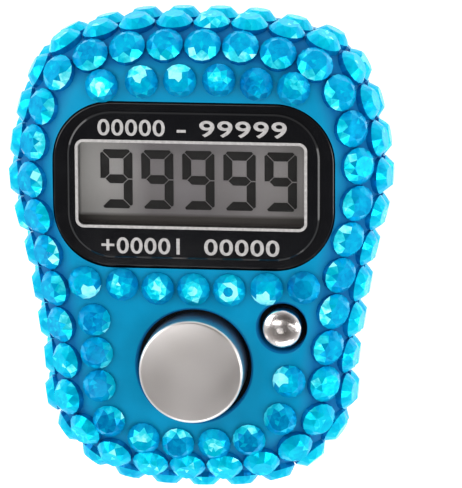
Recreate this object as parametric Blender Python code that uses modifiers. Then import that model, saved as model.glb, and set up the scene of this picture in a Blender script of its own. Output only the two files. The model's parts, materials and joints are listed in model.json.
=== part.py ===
"""Digital finger tally counter: a stone-covered case with its display, buttons, board, cell and strap.

Lengths are in metres. +Z points out of the display, +Y to the top of the display and +X to its right.
The counter stands on the flat underside of its finger strap, and the origin is the middle of that flat.
"""

from math import asin, cos, pi, radians, sin, sqrt

import bmesh
import bpy
from mathutils import Matrix, Vector

MM = 0.001

# Clearances between pieces
SEAT_GAP = 0.25 * MM
FIT_GAP = 0.30 * MM
GLUE_GAP = 0.10 * MM
OVERRUN = 1.0 * MM
WELD = 0.001 * MM

# Case outline, seen from the front: shares of the half width and half length, top centre to bottom centre
OUTLINE_SHARES = (
    (0.0, 1.0),
    (0.46, 0.972),
    (0.83, 0.835),
    (1.0, 0.38),
    (0.90, -0.05),
    (0.82, -0.45),
    (0.78, -0.72),
    (0.50, -0.945),
    (0.0, -1.0),
)
OUTLINE_COUNT = 42
SPAN_STEPS = 12

# Case margins round the window and the count button
CASE_SIDE_MARGIN = 3.65 * MM
CASE_TOP_MARGIN = 6.5 * MM
CASE_BOTTOM_MARGIN = 5.75 * MM

# Case walls
CASE_WALL = 1.3 * MM
FRONT_ROUND = 4.5 * MM
PARTING_MARGIN = 0.1 * MM
FRONT_INNER_ROUND = 2.4 * MM
REAR_ROUND = 3.6 * MM
ROUND_STEPS = 4
INNER_ROUND_STEPS = 3
LIP_HEIGHT = 0.9 * MM
LIP_WALL = 0.55 * MM
SADDLE_DEPTH = 1.0 * MM
SADDLE_WIDTH = 16.0 * MM
REAR_FLOOR = 1.2 * MM

# Window and the opening behind it
OPENING_WIDTH = 20.9 * MM
OPENING_HEIGHT = 8.5 * MM
OPENING_CORNER = 0.8 * MM
LENS_SIDE_BORDER = 1.85 * MM
LENS_END_BORDER = 3.05 * MM
LENS_CORNER = 5.2 * MM
LENS_THICKNESS = 0.9 * MM
LENS_PROUD = 0.10 * MM
LENS_BEVEL = 0.25 * MM
LENS_LEDGE = 0.75 * MM

# Display
LCD_MARGIN = 0.25 * MM
LCD_CONTACT_LEDGE = 1.9 * MM
GLASS_THICKNESS = 0.55 * MM
POLARISER_THICKNESS = 0.20 * MM
POLARISER_INSET = 0.4 * MM
ZEBRA_WIDTH = 1.2 * MM
ZEBRA_HEIGHT = 2.3 * MM
FRAME_WALL = 0.7 * MM
FRAME_DEPTH = 2.6 * MM
FRAME_INNER_CORNER = 0.25 * MM

# Circuit board
BOARD_THICKNESS = 0.8 * MM
BOARD_CLEARANCE = 0.5 * MM
BLOB_RADIUS = 2.9 * MM
BLOB_HEIGHT = 0.9 * MM
RESISTOR_SIZE = (1.6 * MM, 0.8 * MM, 0.5 * MM)
CAPACITOR_SIZE = (2.0 * MM, 1.25 * MM, 0.9 * MM)

# Count button and its return dome
COUNT_RADIUS = 4.6 * MM
COUNT_PROUD = 2.6 * MM
COUNT_EDGE = 0.35 * MM
COUNT_EDGE_SHARE = 0.3
COUNT_CAP_WALL = 0.45 * MM
COUNT_FLANGE = 1.0 * MM
COUNT_STEM_RADIUS = 1.9 * MM
COUNT_TRAVEL = 0.8 * MM
COUNT_DOME_RADIUS = 3.0 * MM
COUNT_DOME_TOP_RADIUS = 2.2 * MM
COUNT_PILL_RADIUS = 1.2 * MM
DOME_SKIN = 0.45 * MM

# Reset button and its return dome
RESET_RADIUS = 1.7 * MM
RESET_DIRECTION = radians(25.0)
RESET_PROUD = 0.8 * MM
RESET_CROWN = 0.5 * MM
RESET_FLANGE = 0.5 * MM
RESET_STEM_RADIUS = 0.8 * MM
RESET_TRAVEL = 0.6 * MM
RESET_DOME_RADIUS = 1.7 * MM
RESET_DOME_TOP_RADIUS = 1.15 * MM
RESET_PILL_RADIUS = 0.5 * MM
BUTTON_RING = 0.45 * MM
BUTTON_SPACING = 0.8 * MM
BUTTON_FLANGE_DEPTH = 0.7 * MM

# Coin cell, its contacts and its door
CELL_RADIUS = 5.8 * MM
CELL_THICKNESS = 3.05 * MM
CELL_EDGE = 0.25 * MM
CELL_CAP_INSET = 0.75 * MM
CELL_MARGIN = 1.45 * MM
CONTACT_THICKNESS = 0.2 * MM
CONTACT_WIDTH = 3.0 * MM
CONTACT_FOOT = 1.9 * MM
CONTACT_LOW_SHARE = 0.33
DOOR_PLATE = 1.3 * MM
DOOR_MARGIN = 0.8 * MM
DOOR_RIM_WALL = 0.45 * MM
DOOR_TAB_REACH = 0.9 * MM
DOOR_TAB_DEPTH = 0.6 * MM
DOOR_TAB_ANGLE = radians(26.0)
DOOR_NOTCH_ANGLE = radians(36.0)
DOOR_TURN = radians(45.0)
DOOR_TABS = 3
SLOT_LENGTH = 9.0 * MM
SLOT_WIDTH = 1.4 * MM
SLOT_DEPTH = 0.6 * MM
WELL_WALL = 0.9 * MM
WELL_HEIGHT = 2.6 * MM

# Screws and their bosses
SCREW_RADIUS = 0.7 * MM
SCREW_HEAD_RADIUS = 1.3 * MM
SCREW_HEAD_DEPTH = 0.7 * MM
SCREW_LENGTH = 6.4 * MM
SCREW_COUNTERSINK = 0.25 * MM
SCREW_TIP_SHARE = 0.5
SCREW_CROWN_SHARES = ((1.0, 0.33), (0.75, 0.0))
BOSS_WALL = 0.75 * MM
CASE_SCREW_LOOP_SHARES = (0.125, 0.385)
CASE_SCREW_INSET = 3.9 * MM
BOARD_SCREW_RADIUS = 0.5 * MM
BOARD_SCREW_HEAD_RADIUS = 0.95 * MM
BOARD_SCREW_HEAD_DEPTH = 0.45 * MM
BOARD_SCREW_LENGTH = 2.4 * MM
BOARD_SCREW_PLACE_SHARES = (0.715, -0.155)

# Finger strap
STRAP_THICKNESS = 1.5 * MM
STRAP_WIDTH = 10.0 * MM
FINGER_WIDTH = 18.4 * MM
FINGER_HEIGHT = 18.5 * MM
STRAP_BEND = 6.5 * MM
STRAP_TAIL_GAP = 1.25 * MM
SHORT_STRAP_TURN = radians(35.0)
STRAP_TIP_SHARE = 0.97
EYE_WALL = 0.85 * MM
PIN_RADIUS = 0.5 * MM
LUG_THICKNESS = 1.5 * MM
LUG_WALL = 1.1 * MM
LUG_ROOT = 1.4 * MM
STRAP_HOLE_RADIUS = 1.1 * MM
STRAP_HOLE_PITCH = 3.6 * MM
STRAP_HOLES = 5
STRAP_STUD_DROP = 1.2 * MM
STUD_SHANK_RADIUS = 0.75 * MM
STUD_HEAD_RADIUS = 1.6 * MM
STUD_HEAD_DEPTH = 0.7 * MM
STUD_BASE_DEPTH = 0.4 * MM
STUD_DOME_SHARES = ((0.0, 1.0), (0.5, 0.92), (0.88, 0.6), (1.0, 0.2), (0.9, 0.0))

# Rhinestones
STONE_RADIUS = 1.45 * MM
STONE_TABLE_RADIUS = 0.95 * MM
STONE_ROOT_RADIUS = 1.58 * MM
STONE_GIRDLE = 0.2 * MM
STONE_HEIGHT = 0.95 * MM
STONE_SINK = 0.35 * MM
STONE_PITCH = 3.25 * MM
LOWER_ROW_PITCH = 3.15 * MM
UPPER_ROW_PITCH = 3.2 * MM
STONE_ROW_PITCH = 3.05 * MM
STONE_CLEARANCE = 0.15 * MM
STONE_LENS_SPACING = 0.40 * MM
STONE_BUTTON_SPACING = 0.45 * MM
RIM_ROW_INSET = 1.6 * MM
RIM_ROWS = 3
RIM_PHASE_SHARES = (0.23, 0.38, 0.5)
RIM_STONE_SIDES = 6
FACE_STONE_SIDES = 8
LOWER_ROW_WIDTH_SHARE = 0.63
UPPER_ROW_WIDTH_SHARE = 0.535
UPPER_ROW_SHIFT = 0.35 * MM
LOOSE_STONE_INSET = 4.55 * MM
LEFT_COLUMN_COUNT = 3
LEFT_COLUMN_DROP = 2.95 * MM
LEFT_COLUMN_PITCH = 2.98 * MM
RIGHT_STONE_DROP = 4.75 * MM
FOOT_ROW_COUNT = 6
FOOT_ROW_PITCH = 3.05 * MM
FOOT_ROW_INSET = 4.08 * MM
FOOT_ROW_PHASE_SHARE = 0.5

# Window, display and case, each round what it holds
LENS_WIDTH = OPENING_WIDTH + 2 * LENS_SIDE_BORDER
LENS_HEIGHT = OPENING_HEIGHT + 2 * LENS_END_BORDER
LCD_WIDTH = OPENING_WIDTH + 2 * LCD_MARGIN
LCD_HEIGHT = OPENING_HEIGHT + 2 * LCD_MARGIN
STONE_STRIP = STONE_LENS_SPACING + 2 * STONE_RADIUS + STONE_BUTTON_SPACING
COUNT_HOLE_RADIUS = COUNT_RADIUS + BUTTON_RING
COUNT_FLANGE_RADIUS = COUNT_RADIUS + COUNT_FLANGE
CASE_WIDTH = LENS_WIDTH + 2 * CASE_SIDE_MARGIN
CASE_LENGTH = CASE_TOP_MARGIN + LENS_HEIGHT + STONE_STRIP + 2 * COUNT_HOLE_RADIUS + CASE_BOTTOM_MARGIN
LENS_CENTRE_Y = CASE_LENGTH / 2 - CASE_TOP_MARGIN - LENS_HEIGHT / 2

# The rim's stone rows, as distances along its rounding from the flat face, and the depth that they take
FIRST_ROW_ARC = FRONT_ROUND * asin(1 - RIM_ROW_INSET / FRONT_ROUND)
LAST_ROW_ARC = FIRST_ROW_ARC + (RIM_ROWS - 1) * STONE_ROW_PITCH
FRONT_DEPTH = FRONT_ROUND * (1 - pi / 2) + LAST_ROW_ARC + STONE_RADIUS + PARTING_MARGIN

# Heights, stacked up from the strap's underside
CASE_BACK_Z = STRAP_THICKNESS + FINGER_HEIGHT
DOOR_OUTER_Z = CASE_BACK_Z + SADDLE_DEPTH
REAR_FLOOR_Z = DOOR_OUTER_Z + REAR_FLOOR
CELL_LOW_Z = DOOR_OUTER_Z + DOOR_PLATE + SEAT_GAP
CELL_HIGH_Z = CELL_LOW_Z + CELL_THICKNESS
CONTACT_LOW_Z = CELL_HIGH_Z + SEAT_GAP
BOARD_LOW_Z = CONTACT_LOW_Z + CONTACT_THICKNESS + SEAT_GAP
BOARD_HIGH_Z = BOARD_LOW_Z + BOARD_THICKNESS
ZEBRA_LOW_Z = BOARD_HIGH_Z + SEAT_GAP
FRONT_GLASS_LOW_Z = ZEBRA_LOW_Z + ZEBRA_HEIGHT + SEAT_GAP
FRONT_GLASS_HIGH_Z = FRONT_GLASS_LOW_Z + GLASS_THICKNESS
FRONT_POLARISER_LOW_Z = FRONT_GLASS_HIGH_Z + GLUE_GAP
FRONT_POLARISER_HIGH_Z = FRONT_POLARISER_LOW_Z + POLARISER_THICKNESS
FRONT_INNER_Z = FRONT_POLARISER_HIGH_Z + SEAT_GAP
LENS_LOW_Z = FRONT_INNER_Z + LENS_LEDGE + SEAT_GAP
LENS_HIGH_Z = LENS_LOW_Z + LENS_THICKNESS
CASE_FRONT_Z = LENS_HIGH_Z - LENS_PROUD
PARTING_Z = CASE_FRONT_Z - FRONT_DEPTH
REAR_GLASS_HIGH_Z = FRONT_GLASS_LOW_Z - GLUE_GAP
REAR_GLASS_LOW_Z = REAR_GLASS_HIGH_Z - GLASS_THICKNESS
REAR_POLARISER_HIGH_Z = REAR_GLASS_LOW_Z - GLUE_GAP
BUTTON_FLANGE_HIGH_Z = FRONT_INNER_Z - SEAT_GAP
BUTTON_FLANGE_LOW_Z = BUTTON_FLANGE_HIGH_Z - BUTTON_FLANGE_DEPTH
BUTTON_STEM_LOW_Z = BUTTON_FLANGE_LOW_Z - SEAT_GAP
DOME_LOW_Z = BOARD_HIGH_Z + SEAT_GAP
DOME_HEIGHT = BUTTON_STEM_LOW_Z - SEAT_GAP - DOME_LOW_Z
PILL_HIGH_Z = DOME_LOW_Z + DOME_HEIGHT - DOME_SKIN - GLUE_GAP
SCREW_Z = CASE_BACK_Z + SCREW_COUNTERSINK

# Button places: a row of stones lies between the window and the count button
LOWER_ROW_Y = LENS_CENTRE_Y - LENS_HEIGHT / 2 - STONE_LENS_SPACING - STONE_RADIUS
UPPER_ROW_Y = LENS_CENTRE_Y + LENS_HEIGHT / 2 + 2 * STONE_CLEARANCE + STONE_RADIUS
COUNT_X = 0.0
COUNT_Y = CASE_BOTTOM_MARGIN + COUNT_HOLE_RADIUS - CASE_LENGTH / 2
RESET_HOLE_RADIUS = RESET_RADIUS + BUTTON_RING
RESET_FLANGE_RADIUS = RESET_RADIUS + RESET_FLANGE
RESET_DISTANCE = COUNT_FLANGE_RADIUS + RESET_FLANGE_RADIUS + BUTTON_SPACING
RESET_X = COUNT_X + RESET_DISTANCE * cos(RESET_DIRECTION)
RESET_Y = COUNT_Y + RESET_DISTANCE * sin(RESET_DIRECTION)

# Battery door and well, under the count button
DOOR_RADIUS = CELL_RADIUS + DOOR_MARGIN
DOOR_TAB_RADIUS = DOOR_RADIUS + DOOR_TAB_REACH
WELL_RADIUS = DOOR_TAB_RADIUS + FIT_GAP
CELL_Y = -CASE_LENGTH / 2 + WELL_RADIUS + WELL_WALL + CASE_WALL + FIT_GAP + CELL_MARGIN

# Strap path, seen along Y
PIN_X = (FINGER_WIDTH + STRAP_THICKNESS) / 2
EYE_RADIUS = PIN_RADIUS + SEAT_GAP + EYE_WALL
PIN_Z = CASE_BACK_Z - EYE_RADIUS - FIT_GAP
LUG_RADIUS = PIN_RADIUS + SEAT_GAP + LUG_WALL
LONG_SIDE_X = PIN_X + STRAP_THICKNESS + FIT_GAP
BEND_Z = STRAP_THICKNESS / 2 + STRAP_BEND
STRAP_TAIL = PIN_Z - EYE_RADIUS - STRAP_TAIL_GAP - BEND_Z
LEFT_BEND_X = STRAP_BEND - LONG_SIDE_X
RIGHT_BEND_X = PIN_X - STRAP_BEND
STUD_Z = BEND_Z + STRAP_TAIL / 2 - STRAP_STUD_DROP
LUG_REACH = STRAP_WIDTH / 2 + SEAT_GAP + LUG_THICKNESS
CHIP_Y = LENS_CENTRE_Y

FINISHES = {
    "cyan_case": ((0.004, 0.305, 0.545), 0.32, 0.0),
    "rhinestone": ((0.0, 0.72, 0.93), 0.08, 0.0),
    "black_window": ((0.006, 0.005, 0.006), 0.06, 0.0),
    "lcd_glass": ((0.35, 0.33, 0.31), 0.12, 0.0),
    "polariser": ((0.24, 0.23, 0.21), 0.35, 0.0),
    "white_plastic": ((0.80, 0.80, 0.78), 0.50, 0.0),
    "grey_rubber": ((0.16, 0.16, 0.17), 0.75, 0.0),
    "green_board": ((0.01, 0.16, 0.06), 0.45, 0.0),
    "black_epoxy": ((0.008, 0.008, 0.009), 0.25, 0.0),
    "chip_ceramic": ((0.45, 0.36, 0.25), 0.50, 0.0),
    "chrome": ((0.86, 0.84, 0.83), 0.18, 1.0),
    "bright_chrome": ((0.90, 0.89, 0.88), 0.07, 1.0),
    "silicone": ((0.62, 0.66, 0.66), 0.60, 0.0),
    "carbon_rubber": ((0.02, 0.02, 0.02), 0.80, 0.0),
    "cell_steel": ((0.70, 0.70, 0.69), 0.25, 1.0),
    "spring_steel": ((0.72, 0.66, 0.50), 0.30, 1.0),
    "screw_steel": ((0.58, 0.58, 0.57), 0.35, 1.0),
    "strap_silicone": ((0.004, 0.33, 0.56), 0.55, 0.0),
}


def clear_scene():
    """Remove every object that the file starts with."""
    for obj in list(bpy.data.objects):
        bpy.data.objects.remove(obj, do_unlink=True)


def new_collection(name):
    """Make a collection in the scene."""
    collection = bpy.data.collections.new(name)
    bpy.context.scene.collection.children.link(collection)
    return collection


def make_finish(name, colour, roughness, metallic):
    """Make a surface from its linear colour, roughness and metallic value."""
    material = bpy.data.materials.new(name)
    material.use_nodes = True
    shader = material.node_tree.nodes["Principled BSDF"]
    shader.inputs["Base Color"].default_value = (*colour, 1.0)
    shader.inputs["Roughness"].default_value = roughness
    shader.inputs["Metallic"].default_value = metallic
    return material


def add_object(name, mesh, finish):
    """Put a mesh in the scene: a named piece with a finish, or a cutter when the finish is None."""
    obj = bpy.data.objects.new(name, mesh)
    if finish is None:
        CUTTERS.objects.link(obj)
        obj.hide_render = True
        obj.display_type = "WIRE"
        return obj
    PIECES.objects.link(obj)
    own = make_finish(f"{name}_{finish}", *FINISHES[finish])
    mesh.materials.append(own)
    return obj


def smooth(obj, angle=radians(35.0)):
    """Shade the rounds of a piece smoothly and keep its sharp edges."""
    obj.data.shade_smooth()
    obj.data.set_sharp_from_angle(angle=angle)
    return obj


def combine(obj, other, operation):
    """Cut another shape from a piece, join it on or keep what both share."""
    step = obj.modifiers.new(other.name, "BOOLEAN")
    step.operation = operation
    step.solver = "EXACT"
    step.object = other
    return step


def cut(obj, *others):
    """Cut shapes out of a piece."""
    for other in others:
        combine(obj, other, "DIFFERENCE")
    return obj


def join(obj, *others):
    """Join shapes onto a piece as one solid."""
    for other in others:
        combine(obj, other, "UNION")
    return obj


def bevel(obj, width, segments=2, limit=radians(50.0)):
    """Round the edges of a piece that are sharper than the limit."""
    step = obj.modifiers.new("Edges", "BEVEL")
    step.width = width
    step.segments = segments
    step.limit_method = "ANGLE"
    step.angle_limit = limit
    return obj


def finish_mesh(bm, name, finish):
    """Turn a bmesh into an object with its faces pointing out."""
    bmesh.ops.recalc_face_normals(bm, faces=bm.faces)
    mesh = bpy.data.meshes.new(name)
    bm.to_mesh(mesh)
    bm.free()
    return add_object(name, mesh, finish)


def plate(name, loops, z_low, z_high, finish=None):
    """Make a flat piece from a closed outline, and holes if more outlines follow, between two heights."""
    curve = bpy.data.curves.new(name, "CURVE")
    curve.dimensions = "2D"
    curve.fill_mode = "BOTH"
    curve.extrude = (z_high - z_low) / 2
    for loop in loops:
        spline = curve.splines.new("POLY")
        spline.points.add(len(loop) - 1)
        for point, (x, y) in zip(spline.points, loop):
            point.co = (x, y, 0.0, 1.0)
        spline.use_cyclic_u = True
    carrier = bpy.data.objects.new(f"{name}_outline", curve)
    carrier.location.z = (z_low + z_high) / 2
    CUTTERS.objects.link(carrier)
    bpy.context.view_layer.update()
    depsgraph = bpy.context.evaluated_depsgraph_get()
    mesh = bpy.data.meshes.new_from_object(carrier.evaluated_get(depsgraph))
    mesh.name = name
    mesh.materials.clear()
    bm = bmesh.new()
    bm.from_mesh(mesh)
    bmesh.ops.remove_doubles(bm, verts=bm.verts, dist=WELD)
    bmesh.ops.recalc_face_normals(bm, faces=bm.faces)
    bm.to_mesh(mesh)
    bm.free()
    obj = add_object(name, mesh, finish)
    obj.matrix_world = carrier.matrix_world
    bpy.data.objects.remove(carrier, do_unlink=True)
    return obj


def turned(name, profile, place, finish=None, steps=32, ring=False, direction=(0.0, 0.0, 1.0)):
    """Turn a profile of (radius, height) pairs, given down its outer side, about an axis through a place."""
    mesh = bpy.data.meshes.new(name)
    count = len(profile)
    edges = [(i, i + 1) for i in range(count - 1)]
    if ring:
        edges.append((count - 1, 0))
    mesh.from_pydata([(radius, 0.0, height) for radius, height in profile], edges, [])
    obj = add_object(name, mesh, finish)
    obj.location = place
    obj.rotation_mode = "QUATERNION"
    obj.rotation_quaternion = Vector((0.0, 0.0, 1.0)).rotation_difference(Vector(direction))
    turn = obj.modifiers.new("Turn", "SCREW")
    turn.axis = "Z"
    turn.steps = steps
    turn.render_steps = steps
    turn.use_merge_vertices = True
    turn.merge_threshold = WELD
    turn.use_smooth_shade = False
    return obj


def cylinder(name, radius, low, high, finish=None, steps=32):
    """Make a plain round bar between two places."""
    length = (Vector(high) - Vector(low)).length
    direction = Vector(high) - Vector(low)
    profile = [(0.0, length), (radius, length), (radius, 0.0), (0.0, 0.0)]
    return turned(name, profile, low, finish, steps, direction=direction)


def block(name, low, high, finish=None):
    """Make a box between two corners."""
    bm = bmesh.new()
    size = Vector(high) - Vector(low)
    middle = (Vector(high) + Vector(low)) / 2
    bmesh.ops.create_cube(bm, size=1.0, matrix=Matrix.Diagonal((*size, 1.0)))
    obj = finish_mesh(bm, name, finish)
    obj.location = middle
    return obj


def loft(name, sections, finish=None):
    """Skin a solid over stacked closed sections with equal point counts, capped at both ends."""
    bm = bmesh.new()
    rings = [[bm.verts.new(point) for point in section] for section in sections]
    for lower, upper in zip(rings, rings[1:]):
        for i, vertex in enumerate(lower):
            bm.faces.new((lower[i - 1], vertex, upper[i], upper[i - 1]))
    bm.faces.new(rings[0])
    bm.faces.new(rings[-1])
    return finish_mesh(bm, name, finish)


def arc(centre, radius, start, end, steps):
    """Points on an arc in a plane, ends included."""
    turn = (end - start) / steps
    return [
        (centre[0] + radius * cos(start + turn * i), centre[1] + radius * sin(start + turn * i))
        for i in range(steps + 1)
    ]


def rounded_rectangle(centre, width, height, corner, steps=6):
    """Outline of a rectangle with round corners, anticlockwise."""
    points = []
    for quarter, (sx, sy) in enumerate(((1, 1), (-1, 1), (-1, -1), (1, -1))):
        middle = (centre[0] + sx * (width / 2 - corner), centre[1] + sy * (height / 2 - corner))
        points += arc(middle, corner, quarter * pi / 2, (quarter + 1) * pi / 2, steps)
    return points


def sector(centre, inner, outer, middle, spread, steps=5):
    """Outline of a ring sector about a middle angle."""
    low = middle - spread / 2
    high = middle + spread / 2
    return arc(centre, outer, low, high, steps) + arc(centre, inner, high, low, steps)


def smooth_closed(points, steps):
    """Closed smooth curve through points, with a number of steps to each span."""
    count = len(points)
    curve = []
    for i in range(count):
        a, b, c, d = (Vector(points[(i + k) % count]) for k in (-1, 0, 1, 2))
        for j in range(steps):
            t = j / steps
            point = b + (c - a) * (t / 2)
            point += (a - b * 2.5 + c * 2 - d / 2) * t ** 2
            point += ((b - c) * 1.5 + (d - a) / 2) * t ** 3
            curve.append(point)
    return curve


def with_normals(points):
    """Pair each point of a clockwise loop with its outward direction."""
    pairs = []
    for i, point in enumerate(points):
        along = points[(i + 1) % len(points)] - points[i - 1]
        pairs.append((point, Vector((-along.y, along.x)).normalized()))
    return pairs


def spaced(pairs, count, phase):
    """Even places along a closed loop of (point, outward) pairs, the first a phase share past its start."""
    lengths = [0.0]
    for i, (point, _) in enumerate(pairs):
        lengths.append(lengths[-1] + (pairs[(i + 1) % len(pairs)][0] - point).length)
    places = []
    step = 0
    for k in range(count):
        target = lengths[-1] * (k + phase) / count
        while lengths[step + 1] < target:
            step += 1
        share = (target - lengths[step]) / (lengths[step + 1] - lengths[step])
        here = pairs[step]
        there = pairs[(step + 1) % len(pairs)]
        places.append((here[0].lerp(there[0], share), here[1].lerp(there[1], share).normalized()))
    return places


def case_outline():
    """The case outline as clockwise (point, outward) pairs, from the top centre."""
    half = [(x * CASE_WIDTH / 2, y * CASE_LENGTH / 2) for x, y in OUTLINE_SHARES]
    mirrored = [(-x, y) for x, y in reversed(half[1:-1])]
    return with_normals(smooth_closed(half + mirrored, SPAN_STEPS))


def inset_pairs(pairs, inset):
    """Move a loop of pairs inward."""
    return [(point - outward * inset, outward) for point, outward in pairs]


def loop_length(pairs):
    """Length of a closed loop of pairs."""
    return sum((pairs[i][0] - pairs[i - 1][0]).length for i in range(len(pairs)))


def section(inset, height):
    """One closed section of the case, inset from its outline, at a height."""
    places = inset_pairs(spaced(OUTLINE, OUTLINE_COUNT, 0.0), inset)
    return [(point.x, point.y, height) for point, _ in places]


def rounded_sections(inset, low, high, rounding, steps=ROUND_STEPS):
    """Sections of a prism, from its open end to the end that rolls in. Either end can be the upper one."""
    sections = [section(inset, low)]
    drop = rounding if high > low else -rounding
    for i in range(steps + 1):
        turn = pi / 2 * i / steps
        sections.append(section(inset + rounding * (1 - cos(turn)), high - drop * (1 - sin(turn))))
    return sections


def rim_frame(arc_place):
    """Inset, drop and slope of the front's rounded rim at a distance along it from the flat face."""
    quarter = FRONT_ROUND * pi / 2
    if arc_place >= quarter:
        return 0.0, FRONT_ROUND + arc_place - quarter, pi / 2
    turn = max(arc_place, 0.0) / FRONT_ROUND
    return FRONT_ROUND * (1 - sin(turn)), FRONT_ROUND * (1 - cos(turn)), turn


def surface_frame(x, y):
    """Place and outward direction on the case front above a point, also on its rounded rim."""
    here = Vector((x, y))
    nearest, outward = min(OUTLINE, key=lambda pair: (pair[0] - here).length)
    inset = (nearest - here).dot(outward)
    turn = asin(max(0.0, 1 - inset / FRONT_ROUND))
    drop = FRONT_ROUND * (1 - cos(turn))
    direction = Vector((outward.x * sin(turn), outward.y * sin(turn), cos(turn)))
    return Vector((x, y, CASE_FRONT_Z - drop)), direction


def rim_stone_frames():
    """Places and directions of the stones in the closed rows round the front's rim."""
    frames = []
    for row in range(RIM_ROWS):
        inset, drop, slope = rim_frame(FIRST_ROW_ARC + row * STONE_ROW_PITCH)
        loop = inset_pairs(OUTLINE, inset)
        count = int(loop_length(loop) / STONE_PITCH)
        for point, outward in spaced(loop, count, RIM_PHASE_SHARES[row]):
            place = Vector((point.x, point.y, CASE_FRONT_Z - drop))
            direction = Vector((outward.x * sin(slope), outward.y * sin(slope), cos(slope)))
            frames.append((place, direction))
    return frames


def stone_row(width, pitch, middle, y):
    """Places of an even row of stones, as many as its width takes."""
    gaps = int(width / pitch)
    return [(middle + (i - gaps / 2) * pitch, y) for i in range(gaps + 1)]


def half_width(y):
    """Half width of the case outline at a height of its length."""
    return min(OUTLINE, key=lambda pair: abs(pair[0].y - y) if pair[0].x > 0 else CASE_LENGTH)[0].x


def foot_row():
    """Places of the row of single stones between the count button and the rim, from left to right."""
    loop = inset_pairs(OUTLINE, FOOT_ROW_INSET)
    count = 2 * int(loop_length(loop) / (2 * FOOT_ROW_PITCH))
    places = sorted((point for point, _ in spaced(loop, count, FOOT_ROW_PHASE_SHARE)), key=lambda p: p.y)
    return sorted((point.x, point.y) for point in places[:FOOT_ROW_COUNT])


def face_stone_places():
    """Places, seen from the front, of the single stones on the flat face."""
    places = stone_row(CASE_WIDTH * LOWER_ROW_WIDTH_SHARE, LOWER_ROW_PITCH, 0.0, LOWER_ROW_Y)
    places += stone_row(CASE_WIDTH * UPPER_ROW_WIDTH_SHARE, UPPER_ROW_PITCH, UPPER_ROW_SHIFT, UPPER_ROW_Y)
    for i in range(LEFT_COLUMN_COUNT):
        y = LOWER_ROW_Y - LEFT_COLUMN_DROP - i * LEFT_COLUMN_PITCH
        places.append((LOOSE_STONE_INSET - half_width(y), y))
    y = RESET_Y - RIGHT_STONE_DROP
    places.append((half_width(y) - LOOSE_STONE_INSET, y))
    return places + foot_row()


def stone_rings(place, direction, sides, heights_and_radii):
    """Stacked many-sided rings of one stone, square to its direction."""
    turn = Vector((0.0, 0.0, 1.0)).rotation_difference(direction).to_matrix()
    rings = []
    for height, radius in heights_and_radii:
        ring = []
        for i in range(sides):
            angle = 2 * pi * (i + 0.5) / sides
            ring.append(place + turn @ Vector((radius * cos(angle), radius * sin(angle), height)))
        rings.append(ring)
    return rings


def add_stone(bm, rings):
    """Skin one stone over its rings."""
    loops = [[bm.verts.new(point) for point in ring] for ring in rings]
    for lower, upper in zip(loops, loops[1:]):
        for i, vertex in enumerate(lower):
            bm.faces.new((lower[i - 1], vertex, upper[i], upper[i - 1]))
    bm.faces.new(list(reversed(loops[0])))
    bm.faces.new(loops[-1])


def rim_stones():
    """All rim stones as one shape, each sunk a little into the case."""
    bm = bmesh.new()
    for place, direction in rim_stone_frames():
        shape = ((-STONE_SINK, STONE_ROOT_RADIUS), (STONE_HEIGHT, STONE_TABLE_RADIUS))
        add_stone(bm, stone_rings(place, direction, RIM_STONE_SIDES, shape))
    return finish_mesh(bm, "rim_stones", None)


def face_stones():
    """The single stones glued to the flat face, each a piece of its own."""
    shape = (
        (GLUE_GAP, STONE_RADIUS),
        (GLUE_GAP + STONE_GIRDLE, STONE_RADIUS),
        (STONE_HEIGHT, STONE_TABLE_RADIUS),
    )
    for number, (x, y) in enumerate(face_stone_places(), 1):
        bm = bmesh.new()
        place, direction = surface_frame(x, y)
        rings = stone_rings(Vector(), direction, FACE_STONE_SIDES, shape)
        add_stone(bm, rings)
        stone = finish_mesh(bm, f"face_stone_{number:02d}", "rhinestone")
        stone.location = place


def case_screw_places():
    """Places of the four case screws, seen from the front."""
    places = []
    for share in CASE_SCREW_LOOP_SHARES:
        point, outward = spaced(OUTLINE, 1, share)[0]
        place = point - outward * CASE_SCREW_INSET
        places += [(place.x, place.y), (-place.x, place.y)]
    return places


def board_screw_places():
    """Places of the two board screws, seen from the front."""
    x, y = BOARD_SCREW_PLACE_SHARES
    return [(side * x * CASE_WIDTH / 2, y * CASE_LENGTH / 2) for side in (1, -1)]


def post(name, radius, place, low, high, steps=14):
    """Upright round bar at a place seen from the front, between two heights."""
    return cylinder(name, radius, (*place, low), (*place, high), steps=steps)


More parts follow.
